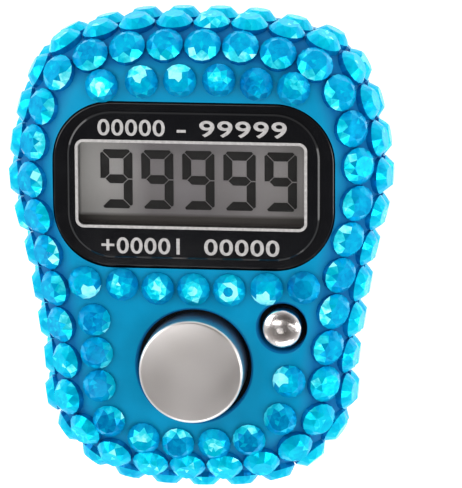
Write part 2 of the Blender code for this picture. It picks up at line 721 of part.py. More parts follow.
def front_shell():
    """Case front: rounded rim with its stones, window seat, button holes and screw bosses."""
    body = loft("front_shell", rounded_sections(0.0, PARTING_Z, CASE_FRONT_Z, FRONT_ROUND), "cyan_case")
    join(body, rim_stones())
    cut(body, loft("front_inside", rounded_sections(CASE_WALL, PARTING_Z - OVERRUN, FRONT_INNER_Z,
                                                    FRONT_INNER_ROUND, INNER_ROUND_STEPS)))
    boss_top = FRONT_INNER_Z + CASE_WALL / 2
    board_seat = BOARD_HIGH_Z + SEAT_GAP
    for number, place in enumerate(case_screw_places(), 1):
        join(body, post(f"case_boss_{number}", SCREW_RADIUS + BOSS_WALL, place, PARTING_Z, boss_top))
    for number, place in enumerate(board_screw_places(), 1):
        join(body, post(f"board_boss_{number}", BOARD_SCREW_RADIUS + BOSS_WALL, place, board_seat, boss_top))
    for number, place in enumerate(case_screw_places(), 1):
        depth = SCREW_Z + SCREW_HEAD_DEPTH + SCREW_LENGTH + FIT_GAP
        cut(body, post(f"case_pilot_{number}", SCREW_RADIUS + GLUE_GAP, place, PARTING_Z - OVERRUN, depth, 10))
    for number, place in enumerate(board_screw_places(), 1):
        depth = BOARD_LOW_Z + BOARD_SCREW_LENGTH + SEAT_GAP
        cut(body, post(f"board_pilot_{number}", BOARD_SCREW_RADIUS + GLUE_GAP, place, BOARD_HIGH_Z - OVERRUN,
                       depth, 10))
    centre = (0.0, LENS_CENTRE_Y)
    seat_outline = rounded_rectangle(centre, LENS_WIDTH + 2 * GLUE_GAP, LENS_HEIGHT + 2 * GLUE_GAP,
                                     LENS_CORNER + GLUE_GAP)
    opening = rounded_rectangle(centre, OPENING_WIDTH, OPENING_HEIGHT, OPENING_CORNER, 3)
    hole_low = FRONT_INNER_Z - OVERRUN
    hole_high = CASE_FRONT_Z + OVERRUN
    cut(
        body,
        plate("lens_seat", [seat_outline], FRONT_INNER_Z + LENS_LEDGE, hole_high),
        plate("window_opening", [opening], hole_low, CASE_FRONT_Z),
        post("count_hole", COUNT_HOLE_RADIUS, (COUNT_X, COUNT_Y), hole_low, hole_high, 36),
        post("reset_hole", RESET_HOLE_RADIUS, (RESET_X, RESET_Y), hole_low, hole_high, 20),
        lip_groove(),
    )
    return smooth(body)


def lip_groove():
    """Cutter that thins the front's wall where the rear's lip goes in."""
    reach = CASE_WALL - LIP_WALL
    low = PARTING_Z - OVERRUN
    high = PARTING_Z + LIP_HEIGHT + FIT_GAP
    return loft("lip_groove", [section(reach, low), section(reach, high)])


def rear_shell():
    """Case back: rounded edge, finger saddle, battery well with a bayonet door hole, screw posts and lugs."""
    high = PARTING_Z - FIT_GAP
    body = loft("rear_shell", rounded_sections(0.0, high, CASE_BACK_Z, REAR_ROUND), "cyan_case")
    cut(body, loft("rear_inside", rounded_sections(CASE_WALL, high + OVERRUN, REAR_FLOOR_Z,
                                                   REAR_ROUND - CASE_WALL, INNER_ROUND_STEPS)))
    lip_outer = CASE_WALL - LIP_WALL + GLUE_GAP
    lip_loops = [
        [(x, y) for x, y, _ in section(lip_outer, 0.0)],
        [(x, y) for x, y, _ in section(lip_outer + LIP_WALL, 0.0)],
    ]
    join(body, plate("lip", lip_loops, high - LIP_HEIGHT, PARTING_Z + LIP_HEIGHT))
    root = REAR_FLOOR_Z - REAR_FLOOR / 2
    join(body, pipe("well", WELL_RADIUS, WELL_RADIUS + WELL_WALL, root, REAR_FLOOR_Z + WELL_HEIGHT,
                    (0.0, CELL_Y)))
    for number, place in enumerate(case_screw_places(), 1):
        join(body, post(f"screw_post_{number}", SCREW_HEAD_RADIUS + BOSS_WALL, place, root, high))
    cut(body, finger_saddle())
    for side in (1, -1):
        for end in (1, -1):
            join(body, lug(side, end))
        reach = LUG_REACH + OVERRUN
        cut(body, cylinder(f"lug_bore_{side}", PIN_RADIUS + GLUE_GAP, (side * PIN_X, -reach, PIN_Z),
                           (side * PIN_X, reach, PIN_Z), steps=14))
    cut(body, door_hole())
    for number, place in enumerate(case_screw_places(), 1):
        low = CASE_BACK_Z - OVERRUN
        seat = SCREW_Z + SCREW_HEAD_DEPTH + GLUE_GAP
        cut(body, post(f"screw_sink_{number}", SCREW_HEAD_RADIUS + GLUE_GAP, place, low, seat))
        cut(body, post(f"screw_bore_{number}", SCREW_RADIUS + 2 * GLUE_GAP, place, low, high + OVERRUN, 10))
    return smooth(body)


def upright(obj, place):
    """Stand a flat piece up, so that what was made along Y runs along Z, and move it to a place."""
    obj.matrix_world = Matrix.Translation(place) @ Matrix.Rotation(pi / 2, 4, "X")
    return obj


def finger_saddle():
    """Cutter for the shallow hollow along the case back, where the finger lies."""
    radius = (SADDLE_WIDTH ** 2 / 4 + SADDLE_DEPTH ** 2) / (2 * SADDLE_DEPTH)
    half_turn = asin((SADDLE_WIDTH / 2 + OVERRUN) / radius)
    curve = arc((0.0, SADDLE_DEPTH - radius), radius, pi / 2 - half_turn, pi / 2 + half_turn, 9)
    loop = curve + [(curve[-1][0], -OVERRUN), (curve[0][0], -OVERRUN)]
    reach = CASE_LENGTH / 2 + OVERRUN
    return upright(plate("saddle", [loop], -reach, reach), (0.0, 0.0, CASE_BACK_Z))


def pipe(name, inner, outer, low, high, centre):
    """Make a cutter or join shape that is a plain upright tube."""
    profile = [(inner, high), (outer, high), (outer, low), (inner, low)]
    return turned(name, profile, (*centre, 0.0), steps=28, ring=True)


def lug(side, end):
    """One strap lug: a round-ended ear that stands out of the case back."""
    middle = end * (STRAP_WIDTH / 2 + SEAT_GAP + LUG_THICKNESS / 2)
    top = CASE_BACK_Z + LUG_ROOT
    round_end = arc((0.0, 0.0), LUG_RADIUS, 0.0, -pi, 8)
    loop = [(LUG_RADIUS, top - PIN_Z)] + round_end + [(-LUG_RADIUS, top - PIN_Z)]
    ear = plate(f"lug_{side}_{end}", [loop], -LUG_THICKNESS / 2, LUG_THICKNESS / 2)
    return upright(ear, (side * PIN_X, middle, PIN_Z))


def door_hole():
    """Cutter for the battery door's hole, with a notch for each of its tabs."""
    low = CASE_BACK_Z - OVERRUN
    high = REAR_FLOOR_Z + SEAT_GAP / 2
    hole = cylinder("door_hole", DOOR_RADIUS + FIT_GAP, (0.0, CELL_Y, low), (0.0, CELL_Y, high), steps=32)
    reach = DOOR_TAB_RADIUS + SEAT_GAP / 2
    for number in range(DOOR_TABS):
        middle = 2 * pi * number / DOOR_TABS + pi / 2 + DOOR_TURN
        loop = sector((0.0, CELL_Y), DOOR_RADIUS / 2, reach, middle, DOOR_NOTCH_ANGLE)
        join(hole, plate(f"door_notch_{number}", [loop], low - SEAT_GAP, high + SEAT_GAP / 4))
    return hole


def battery_door():
    """Round twist cover: a plate with a coin slot, a rim round the cell and bayonet tabs over the floor."""
    rim_top = REAR_FLOOR_Z + FIT_GAP + DOOR_TAB_DEPTH
    plate_top = DOOR_OUTER_Z + DOOR_PLATE
    inner = DOOR_RADIUS - DOOR_RIM_WALL
    profile = [
        (0.0, plate_top),
        (inner, plate_top),
        (inner, rim_top),
        (DOOR_RADIUS, rim_top),
        (DOOR_RADIUS, DOOR_OUTER_Z),
        (0.0, DOOR_OUTER_Z),
    ]
    centre = Vector((0.0, CELL_Y, 0.0))
    door = turned("battery_door", [(r, z - DOOR_OUTER_Z) for r, z in profile], centre, "cyan_case", 32)
    door.location.z = DOOR_OUTER_Z
    for number in range(DOOR_TABS):
        middle = 2 * pi * number / DOOR_TABS + pi / 2
        loop = sector((0.0, CELL_Y), inner + DOOR_RIM_WALL / 2, DOOR_TAB_RADIUS, middle, DOOR_TAB_ANGLE)
        join(door, plate(f"door_tab_{number}", [loop], REAR_FLOOR_Z + FIT_GAP, rim_top))
    coin_slot = plate(
        "coin_slot",
        [rounded_rectangle((0.0, CELL_Y), SLOT_LENGTH, SLOT_WIDTH, SLOT_WIDTH / 2, 5)],
        DOOR_OUTER_Z - OVERRUN,
        DOOR_OUTER_Z + SLOT_DEPTH,
    )
    cut(door, coin_slot)
    return smooth(door)


def display():
    """Window, LCD layers, their frame and the rubber connector to the board."""
    centre = (0.0, LENS_CENTRE_Y)
    lens = plate(
        "display_lens",
        [rounded_rectangle(centre, LENS_WIDTH, LENS_HEIGHT, LENS_CORNER)],
        LENS_LOW_Z,
        LENS_HIGH_Z,
        "black_window",
    )
    smooth(bevel(lens, LENS_BEVEL))
    top = LENS_CENTRE_Y + LCD_HEIGHT / 2
    low = LENS_CENTRE_Y - LCD_HEIGHT / 2
    half = LCD_WIDTH / 2
    edge = POLARISER_INSET
    block("lcd_front_polariser", (-half + edge, low + edge, FRONT_POLARISER_LOW_Z),
          (half - edge, top - edge, FRONT_POLARISER_HIGH_Z), "polariser")
    block("lcd_front_glass", (-half, low - LCD_CONTACT_LEDGE, FRONT_GLASS_LOW_Z),
          (half, top, FRONT_GLASS_HIGH_Z), "lcd_glass")
    block("lcd_rear_glass", (-half, low, REAR_GLASS_LOW_Z), (half, top, REAR_GLASS_HIGH_Z), "lcd_glass")
    block("lcd_rear_polariser", (-half + edge, low + edge, REAR_POLARISER_HIGH_Z - POLARISER_THICKNESS),
          (half - edge, top - edge, REAR_POLARISER_HIGH_Z), "polariser")
    ledge_middle = low - LCD_CONTACT_LEDGE / 2
    block("zebra_strip", (-half, ledge_middle - ZEBRA_WIDTH / 2, ZEBRA_LOW_Z),
          (half, ledge_middle + ZEBRA_WIDTH / 2, ZEBRA_LOW_Z + ZEBRA_HEIGHT), "grey_rubber")
    frame_middle = (0.0, LENS_CENTRE_Y - LCD_CONTACT_LEDGE / 2)
    inner_width = LCD_WIDTH + 2 * SEAT_GAP
    inner_height = LCD_HEIGHT + LCD_CONTACT_LEDGE + 2 * SEAT_GAP
    plate(
        "lcd_frame",
        [
            rounded_rectangle(frame_middle, inner_width + 2 * FRAME_WALL, inner_height + 2 * FRAME_WALL,
                              FRAME_WALL, 3),
            rounded_rectangle(frame_middle, inner_width, inner_height, FRAME_INNER_CORNER, 2),
        ],
        ZEBRA_LOW_Z,
        ZEBRA_LOW_Z + FRAME_DEPTH,
        "white_plastic",
    )


def circuit_board():
    """Board shaped to the case, notched round the screw posts, with its chip and small parts on its back."""
    outer = [(x, y) for x, y, _ in section(CASE_WALL + BOARD_CLEARANCE, 0.0)]
    board = plate("circuit_board", [outer], BOARD_LOW_Z, BOARD_HIGH_Z, "green_board")
    low = BOARD_LOW_Z - OVERRUN
    high = BOARD_HIGH_Z + OVERRUN
    radius = SCREW_HEAD_RADIUS + BOSS_WALL + FIT_GAP
    for number, (x, y) in enumerate(case_screw_places(), 1):
        notch = post(f"board_notch_{number}", radius, (x, y), low, high)
        side = block(f"board_notch_side_{number}", (min(x, 2 * x), y - radius, low),
                     (max(x, 2 * x), y + radius, high))
        cut(board, notch, side)
    for number, place in enumerate(board_screw_places(), 1):
        cut(board, post(f"board_hole_{number}", BOARD_SCREW_RADIUS + GLUE_GAP, place, low, high))
    chip_top = BOARD_LOW_Z - GLUE_GAP
    steps = 5
    dome = [
        (BLOB_RADIUS * cos(pi / 2 * i / steps), -BLOB_HEIGHT * sin(pi / 2 * i / steps))
        for i in range(steps + 1)
    ]
    smooth(turned("chip_blob", [(0.0, 0.0)] + dome, (0.0, CHIP_Y, chip_top), "black_epoxy", 18))
    for name, size, x, finish in (
        ("resistor", RESISTOR_SIZE, -BLOB_RADIUS - RESISTOR_SIZE[0], "black_epoxy"),
        ("capacitor", CAPACITOR_SIZE, BLOB_RADIUS + CAPACITOR_SIZE[0], "chip_ceramic"),
    ):
        width, depth, height = size
        block(name, (x - width / 2, CHIP_Y - depth / 2, chip_top - height),
              (x + width / 2, CHIP_Y + depth / 2, chip_top), finish)


def dome_profile(base, top, height):
    """Profile of a hollow silicone dome, open below: outer side down, then up the inside."""
    inner_height = height - DOME_SKIN
    return [
        (0.0, height),
        (top, height),
        (base - DOME_SKIN, DOME_SKIN),
        (base, DOME_SKIN),
        (base, 0.0),
        (base - DOME_SKIN * 2, 0.0),
        (top - DOME_SKIN, inner_height),
        (0.0, inner_height),
    ]


def return_dome(name, place, base, top, pill_radius, travel, steps):
    """Silicone dome under a button, and the conductive pill that meets the board at the end of the travel."""
    height = place + Vector((0.0, 0.0, DOME_LOW_Z))
    smooth(turned(f"{name}_dome", dome_profile(base, top, DOME_HEIGHT), height, "silicone", steps))
    low = place + Vector((0.0, 0.0, BOARD_HIGH_Z + travel + GLUE_GAP))
    high = place + Vector((0.0, 0.0, PILL_HIGH_Z))
    smooth(cylinder(f"{name}_pill", pill_radius, low, high, "carbon_rubber", steps))


def count_button():
    """Chromed cap on a plastic plunger, with its return dome and conductive pill."""
    place = Vector((COUNT_X, COUNT_Y, 0.0))
    cap_top = CASE_FRONT_Z + COUNT_PROUD
    cap_low = BUTTON_FLANGE_HIGH_Z + GLUE_GAP
    inner = COUNT_RADIUS - COUNT_CAP_WALL
    edge = COUNT_EDGE * COUNT_EDGE_SHARE
    cap = [
        (0.0, cap_top),
        (COUNT_RADIUS - COUNT_EDGE, cap_top),
        (COUNT_RADIUS - edge, cap_top - edge),
        (COUNT_RADIUS, cap_top - COUNT_EDGE),
        (COUNT_RADIUS, cap_low),
        (inner, cap_low),
        (inner, cap_top - COUNT_CAP_WALL),
        (0.0, cap_top - COUNT_CAP_WALL),
    ]
    smooth(turned("count_cap", cap, place, "chrome", 36))
    core = inner - GLUE_GAP
    core_top = cap_top - COUNT_CAP_WALL - GLUE_GAP
    plunger = [
        (0.0, core_top),
        (core, core_top),
        (core, BUTTON_FLANGE_HIGH_Z),
        (COUNT_FLANGE_RADIUS, BUTTON_FLANGE_HIGH_Z),
        (COUNT_FLANGE_RADIUS, BUTTON_FLANGE_LOW_Z),
        (COUNT_STEM_RADIUS, BUTTON_FLANGE_LOW_Z),
        (COUNT_STEM_RADIUS, BUTTON_STEM_LOW_Z),
        (0.0, BUTTON_STEM_LOW_Z),
    ]
    smooth(turned("count_plunger", plunger, place, "white_plastic", 24))
    return_dome("count", place, COUNT_DOME_RADIUS, COUNT_DOME_TOP_RADIUS, COUNT_PILL_RADIUS, COUNT_TRAVEL, 20)


def reset_button():
    """Small domed button turned in one piece, with its return dome and conductive pill."""
    place = Vector((RESET_X, RESET_Y, 0.0))
    shoulder = CASE_FRONT_Z + RESET_PROUD - RESET_CROWN
    steps = 4
    crown = [
        (RESET_RADIUS * sin(pi / 2 * i / steps), shoulder + RESET_CROWN * cos(pi / 2 * i / steps))
        for i in range(steps + 1)
    ]
    profile = crown + [
        (RESET_RADIUS, BUTTON_FLANGE_HIGH_Z),
        (RESET_FLANGE_RADIUS, BUTTON_FLANGE_HIGH_Z),
        (RESET_FLANGE_RADIUS, BUTTON_FLANGE_LOW_Z),
        (RESET_STEM_RADIUS, BUTTON_FLANGE_LOW_Z),
        (RESET_STEM_RADIUS, BUTTON_STEM_LOW_Z),
        (0.0, BUTTON_STEM_LOW_Z),
    ]
    smooth(turned("reset_button", profile, place, "bright_chrome", 20))
    return_dome("reset", place, RESET_DOME_RADIUS, RESET_DOME_TOP_RADIUS, RESET_PILL_RADIUS, RESET_TRAVEL, 14)


def battery():
    """Coin cell, the contact above it and the one at its side."""
    edge = CELL_EDGE
    profile = [
        (0.0, CELL_HIGH_Z),
        (CELL_RADIUS - CELL_CAP_INSET, CELL_HIGH_Z),
        (CELL_RADIUS - CELL_CAP_INSET, CELL_HIGH_Z - edge),
        (CELL_RADIUS, CELL_HIGH_Z - 2 * edge),
        (CELL_RADIUS, CELL_LOW_Z + edge),
        (CELL_RADIUS - edge, CELL_LOW_Z),
        (0.0, CELL_LOW_Z),
    ]
    smooth(turned("coin_cell", profile, (0.0, CELL_Y, 0.0), "cell_steel", 28))
    half = CONTACT_WIDTH / 2
    leaf_top = CONTACT_LOW_Z + CONTACT_THICKNESS
    tongue = rounded_rectangle((0.0, CELL_Y + CELL_RADIUS / 2), CONTACT_WIDTH, CELL_RADIUS * 2, half / 2, 3)
    plate("battery_contact_minus", [tongue], CONTACT_LOW_Z, leaf_top, "spring_steel")
    inner = CELL_RADIUS + SEAT_GAP
    leaf_low = CELL_LOW_Z + CELL_THICKNESS * CONTACT_LOW_SHARE
    outline = [
        (inner, leaf_low),
        (inner + CONTACT_THICKNESS, leaf_low),
        (inner + CONTACT_THICKNESS, CONTACT_LOW_Z),
        (inner + CONTACT_THICKNESS + CONTACT_FOOT, CONTACT_LOW_Z),
        (inner + CONTACT_THICKNESS + CONTACT_FOOT, leaf_top),
        (inner, leaf_top),
    ]
    upright(plate("battery_contact_plus", [outline], -half, half, "spring_steel"), (0.0, CELL_Y, 0.0))


def screw(name, place, head_radius, head_depth, radius, length):
    """Pan-head screw driven upward from a place at the bottom of its head."""
    tip = radius * SCREW_TIP_SHARE
    profile = [
        (0.0, head_depth + length),
        (radius - tip, head_depth + length),
        (radius, head_depth + length - tip),
        (radius, head_depth),
        (head_radius, head_depth),
    ]
    profile += [(head_radius * reach, head_depth * rise) for reach, rise in SCREW_CROWN_SHARES]
    return smooth(turned(name, profile + [(0.0, 0.0)], place, "screw_steel", 10))


def screws():
    """Four case screws from the back and two that hold the board."""
    for number, (x, y) in enumerate(case_screw_places(), 1):
        screw(f"case_screw_{number}", (x, y, SCREW_Z), SCREW_HEAD_RADIUS, SCREW_HEAD_DEPTH, SCREW_RADIUS,
              SCREW_LENGTH)
    for number, (x, y) in enumerate(board_screw_places(), 1):
        place = (x, y, BOARD_LOW_Z - GLUE_GAP - BOARD_SCREW_HEAD_DEPTH)
        screw(f"board_screw_{number}", place, BOARD_SCREW_HEAD_RADIUS, BOARD_SCREW_HEAD_DEPTH,
              BOARD_SCREW_RADIUS, BOARD_SCREW_LENGTH)


def band(name, path, finish):
    """Strap band: an open surface swept along a path of (x, z) points, thickened both ways."""
    bm = bmesh.new()
    left = []
    right = []
    for x, z, width in path:
        left.append(bm.verts.new((x, -width / 2, z)))
        right.append(bm.verts.new((x, width / 2, z)))
    for i in range(len(path) - 1):
        bm.faces.new((left[i], left[i + 1], right[i + 1], right[i]))
    mesh = bpy.data.meshes.new(name)
    bm.to_mesh(mesh)
    bm.free()
    obj = add_object(name, mesh, finish)
    thick = obj.modifiers.new("Thickness", "SOLIDIFY")
    thick.thickness = STRAP_THICKNESS
    thick.offset = 0.0
    thick.use_even_offset = True
    return obj


def tip_path(x, z, length, upward):
    """Round tip of a strap along Z, as (x, z, width) stations past a place."""
    radius = STRAP_WIDTH / 2
    steps = 5
    stations = []
    for i in range(1, steps + 1):
        share = sin(pi / 2 * i / steps) * STRAP_TIP_SHARE
        stations.append((x, z + upward * length * share, 2 * radius * sqrt(1 - share ** 2)))
    return stations


def eye(name, side):
    """Round eye at a strap's end and the bore for its pin."""
    half = STRAP_WIDTH / 2
    solid = cylinder(f"{name}_eye", EYE_RADIUS, (side * PIN_X, -half, PIN_Z), (side * PIN_X, half, PIN_Z),
                     steps=20)
    bore = cylinder(f"{name}_bore", PIN_RADIUS + SEAT_GAP, (side * PIN_X, -half - OVERRUN, PIN_Z),
                    (side * PIN_X, half + OVERRUN, PIN_Z), steps=16)
    return solid, bore


def straps():
    """Long strap with its holes from the right lug, short strap with the stud from the left one."""
    path = [(PIN_X, PIN_Z)]
    path += arc((RIGHT_BEND_X, BEND_Z), STRAP_BEND, 0.0, -pi / 2, 6)
    path += arc((LEFT_BEND_X, BEND_Z), STRAP_BEND, -pi / 2, -pi, 6)
    stations = [(x, z, STRAP_WIDTH) for x, z in path]
    stations += tip_path(-LONG_SIDE_X, BEND_Z + STRAP_TAIL - STRAP_WIDTH / 2, STRAP_WIDTH / 2, 1)
    long_strap = band("strap_long", stations, "strap_silicone")
    solid, bore = eye("strap_long", 1)
    join(long_strap, solid)
    cut(long_strap, bore)
    for number in range(STRAP_HOLES):
        place, direction = long_strap_place(number)
        reach = direction * (STRAP_THICKNESS + OVERRUN)
        cut(long_strap, cylinder(f"strap_hole_{number}", STRAP_HOLE_RADIUS, place - reach, place + reach,
                                 steps=12))
    smooth(long_strap)
    inner_bend = STRAP_BEND - STRAP_THICKNESS - FIT_GAP
    path = [(-PIN_X, PIN_Z)] + arc((LEFT_BEND_X, BEND_Z), inner_bend, pi, pi + SHORT_STRAP_TURN, 4)
    stations = [(x, z, STRAP_WIDTH) for x, z in path]
    short_strap = band("strap_short", stations, "strap_silicone")
    solid, bore = eye("strap_short", -1)
    join(short_strap, solid)
    cut(short_strap, bore)
    inner_x = -FINGER_WIDTH / 2
    recess = STUD_BASE_DEPTH + SEAT_GAP
    cut(
        short_strap,
        cylinder("stud_hole", STUD_SHANK_RADIUS + SEAT_GAP / 2, (inner_x + OVERRUN, 0.0, STUD_Z),
                 (-LONG_SIDE_X, 0.0, STUD_Z), steps=14),
        cylinder("stud_recess", STUD_HEAD_RADIUS + SEAT_GAP, (inner_x - recess, 0.0, STUD_Z),
                 (inner_x + OVERRUN, 0.0, STUD_Z), steps=16),
    )
    smooth(short_strap)
    stud(inner_x)
    for side, word in ((1, "right"), (-1, "left")):
        cylinder(f"strap_pin_{word}", PIN_RADIUS, (side * PIN_X, -LUG_REACH, PIN_Z),
                 (side * PIN_X, LUG_REACH, PIN_Z), "screw_steel", 12)


def long_strap_place(number):
    """Middle and outward direction of one of the long strap's holes, counted from the stud's."""
    along = number * STRAP_HOLE_PITCH
    straight = STUD_Z - BEND_Z
    if along <= straight:
        return Vector((-LONG_SIDE_X, 0.0, STUD_Z - along)), Vector((-1.0, 0.0, 0.0))
    turn = (along - straight) / STRAP_BEND
    if turn <= pi / 2:
        direction = Vector((-cos(turn), 0.0, -sin(turn)))
        return Vector((LEFT_BEND_X, 0.0, BEND_Z)) + direction * STRAP_BEND, direction
    flat = min(along - straight - STRAP_BEND * pi / 2, RIGHT_BEND_X - LEFT_BEND_X)
    return Vector((LEFT_BEND_X + flat, 0.0, BEND_Z - STRAP_BEND)), Vector((0.0, 0.0, -1.0))


def stud(inner_x):
    """Metal stud through both straps: a flat base in the short strap and a mushroom head outside."""
    base = STUD_BASE_DEPTH
    shoulder = 2 * STRAP_THICKNESS + FIT_GAP + SEAT_GAP
    profile = [(STUD_HEAD_RADIUS * reach, shoulder + STUD_HEAD_DEPTH * rise) for reach, rise in STUD_DOME_SHARES]
    profile += [
        (STUD_SHANK_RADIUS, shoulder),
        (STUD_SHANK_RADIUS, base),
        (STUD_HEAD_RADIUS, base),
        (STUD_HEAD_RADIUS, 0.0),
        (0.0, 0.0),
    ]
    return smooth(turned("strap_stud", profile, (inner_x, 0.0, STUD_Z), "chrome", 16,
                         direction=(-1.0, 0.0, 0.0)))


clear_scene()
PIECES = new_collection("tally_counter")
CUTTERS = new_collection("cutters")
OUTLINE = case_outline()
front_shell()
rear_shell()
display()
circuit_board()
count_button()
reset_button()
battery()
battery_door()
screws()
straps()
face_stones()
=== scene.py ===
"""Looks of a digital finger counter in a rhinestone case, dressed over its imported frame.

Lengths are in metres, in the frame's own directions: +Z out of the display, +Y to its top, +X to its right.
"""

import json
import logging
import math
from dataclasses import dataclass
from enum import Enum

import bmesh
import bpy
from mathutils import Matrix, Vector

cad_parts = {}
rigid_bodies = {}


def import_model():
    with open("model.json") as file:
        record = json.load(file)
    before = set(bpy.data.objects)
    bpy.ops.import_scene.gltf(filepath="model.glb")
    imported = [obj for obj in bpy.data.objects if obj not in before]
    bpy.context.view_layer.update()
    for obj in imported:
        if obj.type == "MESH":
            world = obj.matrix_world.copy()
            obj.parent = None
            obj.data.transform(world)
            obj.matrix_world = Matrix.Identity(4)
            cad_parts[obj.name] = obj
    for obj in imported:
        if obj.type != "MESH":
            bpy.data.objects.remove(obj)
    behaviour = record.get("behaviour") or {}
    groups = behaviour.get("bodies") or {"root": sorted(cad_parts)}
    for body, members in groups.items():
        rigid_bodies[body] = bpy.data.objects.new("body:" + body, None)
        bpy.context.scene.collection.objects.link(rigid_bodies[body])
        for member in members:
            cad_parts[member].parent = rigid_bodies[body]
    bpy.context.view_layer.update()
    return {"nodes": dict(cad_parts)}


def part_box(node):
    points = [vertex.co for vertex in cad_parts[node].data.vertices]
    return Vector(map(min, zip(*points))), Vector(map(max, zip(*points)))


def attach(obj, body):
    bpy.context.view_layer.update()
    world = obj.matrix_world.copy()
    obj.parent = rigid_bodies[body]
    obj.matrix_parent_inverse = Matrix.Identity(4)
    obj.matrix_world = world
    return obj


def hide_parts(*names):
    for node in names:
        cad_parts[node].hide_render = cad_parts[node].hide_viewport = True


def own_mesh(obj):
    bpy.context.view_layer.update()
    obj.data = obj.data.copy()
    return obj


for leftover in list(bpy.data.objects):
    bpy.data.objects.remove(leftover, do_unlink=True)
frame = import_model()

MM = 0.001
LOG = logging.getLogger("finger_counter")

UP = Vector((0.0, 0.0, 1.0))
# A wave texture repeats after about a third of the inverse of its scale
WAVE_TURN = 3.1
# How much of each finer layer a noise keeps
NOISE_FALL = 0.55

Point = tuple[float, ...]
Span = tuple[float, float]
Stops = tuple[tuple[float, str], ...]
Pair = tuple[Vector, Vector]
Tree = bpy.types.NodeTree
Node = bpy.types.Node
Socket = bpy.types.NodeSocket
Mesh = bpy.types.Mesh
Piece = bpy.types.Object
Shape = bmesh.types.BMesh


class Body(Enum):
    """The moving groups that a piece can ride on."""

    ROOT = "root"
    COUNT_BUTTON = "count_button"
    RESET_BUTTON = "reset_button_body"


class Join(Enum):
    """How one shape meets another."""

    CUT = "DIFFERENCE"
    ADD = "UNION"


# Small tools for nodes and meshes


def linear(code: str) -> tuple[float, float, float, float]:
    """Turn an sRGB hex colour into linear light.

    Args:
        code: Colour as "#rrggbb".

    Returns:
        Red, green, blue and an alpha of one.
    """
    parts = [int(code[i:i + 2], 16) / 255 for i in (1, 3, 5)]
    light = [v / 12.92 if v <= 0.04045 else ((v + 0.055) / 1.055) ** 2.4 for v in parts]
    return (*light, 1.0)


def add_node(tree: Tree, kind: str, inputs: dict | None = None, stops: Stops = (),
             **settings: object) -> Node:
    """Add a node with its settings, values and links.

    Args:
        tree: Tree that gets the node.
        kind: Blender's name for the node, less its first word ShaderNode.
        inputs: Socket name or number to a value, or to the output that feeds it.
        stops: Places and hex colours of a colour ramp.
        **settings: Properties of the node.

    Returns:
        The new node.
    """
    node = tree.nodes.new(f"ShaderNode{kind}")
    for key, value in settings.items():
        setattr(node, key, value)
    for key, value in (inputs or {}).items():
        if isinstance(value, Socket):
            tree.links.new(value, node.inputs[key])
        else:
            node.inputs[key].default_value = value
    if stops:
        elements = node.color_ramp.elements
        while len(elements) < len(stops):
            elements.new(1.0)
        for element, (place, code) in zip(elements, stops):
            element.position = place
            element.color = linear(code)
    return node


def placed(name: str, data: bpy.types.ID) -> Piece:
    """Put an object with its data in the scene."""
    thing = bpy.data.objects.new(name, data)
    bpy.context.scene.collection.objects.link(thing)
    return thing


def painted(piece: Piece, *finishes: "Finish") -> Piece:
    """Give a piece one finish for each material slot."""
    piece.data.materials.clear()
    for finish in finishes:
        piece.data.materials.append(finish.material())
    return piece


def make_piece(name: str, mesh: Mesh, *finishes: "Finish") -> Piece:
    """Put a mesh in the scene with its finishes.

    Args:
        name: Name of the piece.
        mesh: Its mesh, in its place.
        *finishes: One finish for each material slot.

    Returns:
        The new object.
    """
    mesh.name = name
    return painted(placed(name, mesh), *finishes)


def shaped(piece: Piece) -> Mesh:
    """Mesh of an object with its modifiers or its type set."""
    bpy.context.view_layer.update()
    return bpy.data.meshes.new_from_object(piece.evaluated_get(bpy.context.evaluated_depsgraph_get()))


def from_bmesh(name: str, bm: Shape, *finishes: "Finish") -> Piece:
    """Turn a bmesh into a piece whose faces point out.

    Args:
        name: Name of the piece.
        bm: The shape, which is freed.
        *finishes: One finish for each material slot.

    Returns:
        The new object.
    """
    bmesh.ops.recalc_face_normals(bm, faces=bm.faces)
    mesh = bpy.data.meshes.new(name)
    bm.to_mesh(mesh)
    bm.free()
    return make_piece(name, mesh, *finishes)


def skin(name: str, sections: list[list[Point]], *finishes: "Finish", capped: bool = True) -> Piece:
    """Skin a closed shape over stacked sections with equal point counts.

    Args:
        name: Name of the piece.
        sections: Closed sections, from one end to the other.
        *finishes: One finish for each material slot.
        capped: Whether the two ends are filled, or else joined to each other.

    Returns:
        The new object.
    """
    bm = bmesh.new()
    rings = [[bm.verts.new(point) for point in section] for section in sections]
    pairs = list(zip(rings, rings[1:]))
    if not capped:
        pairs.append((rings[-1], rings[0]))
    for lower, upper in pairs:
        for i, vertex in enumerate(lower):
            bm.faces.new((lower[i - 1], vertex, upper[i], upper[i - 1]))
    if capped:
        bm.faces.new(rings[0])
        bm.faces.new(rings[-1])
    return from_bmesh(name, bm, *finishes)


def circle(place: Vector, direction: Vector, count: int, radius: float, height: float, start: float = 0.0,
           shift: float = 0.0) -> list[Vector]:
    """Even points round an axis through a place.

    Args:
        place: Foot of the axis.
        direction: Direction of the axis.
        count: Number of points.
        radius: Distance from the axis.
        height: Height along the axis.
        start: Angle of the first point.
        shift: Further turn, as a share of one point's step.

    Returns:
        The points in order.
    """
    turn = UP.rotation_difference(direction).to_matrix()
    angles = [start + 2 * math.pi * (i + shift) / count for i in range(count)]
    return [place + turn @ Vector((radius * math.cos(angle), radius * math.sin(angle), height))
            for angle in angles]


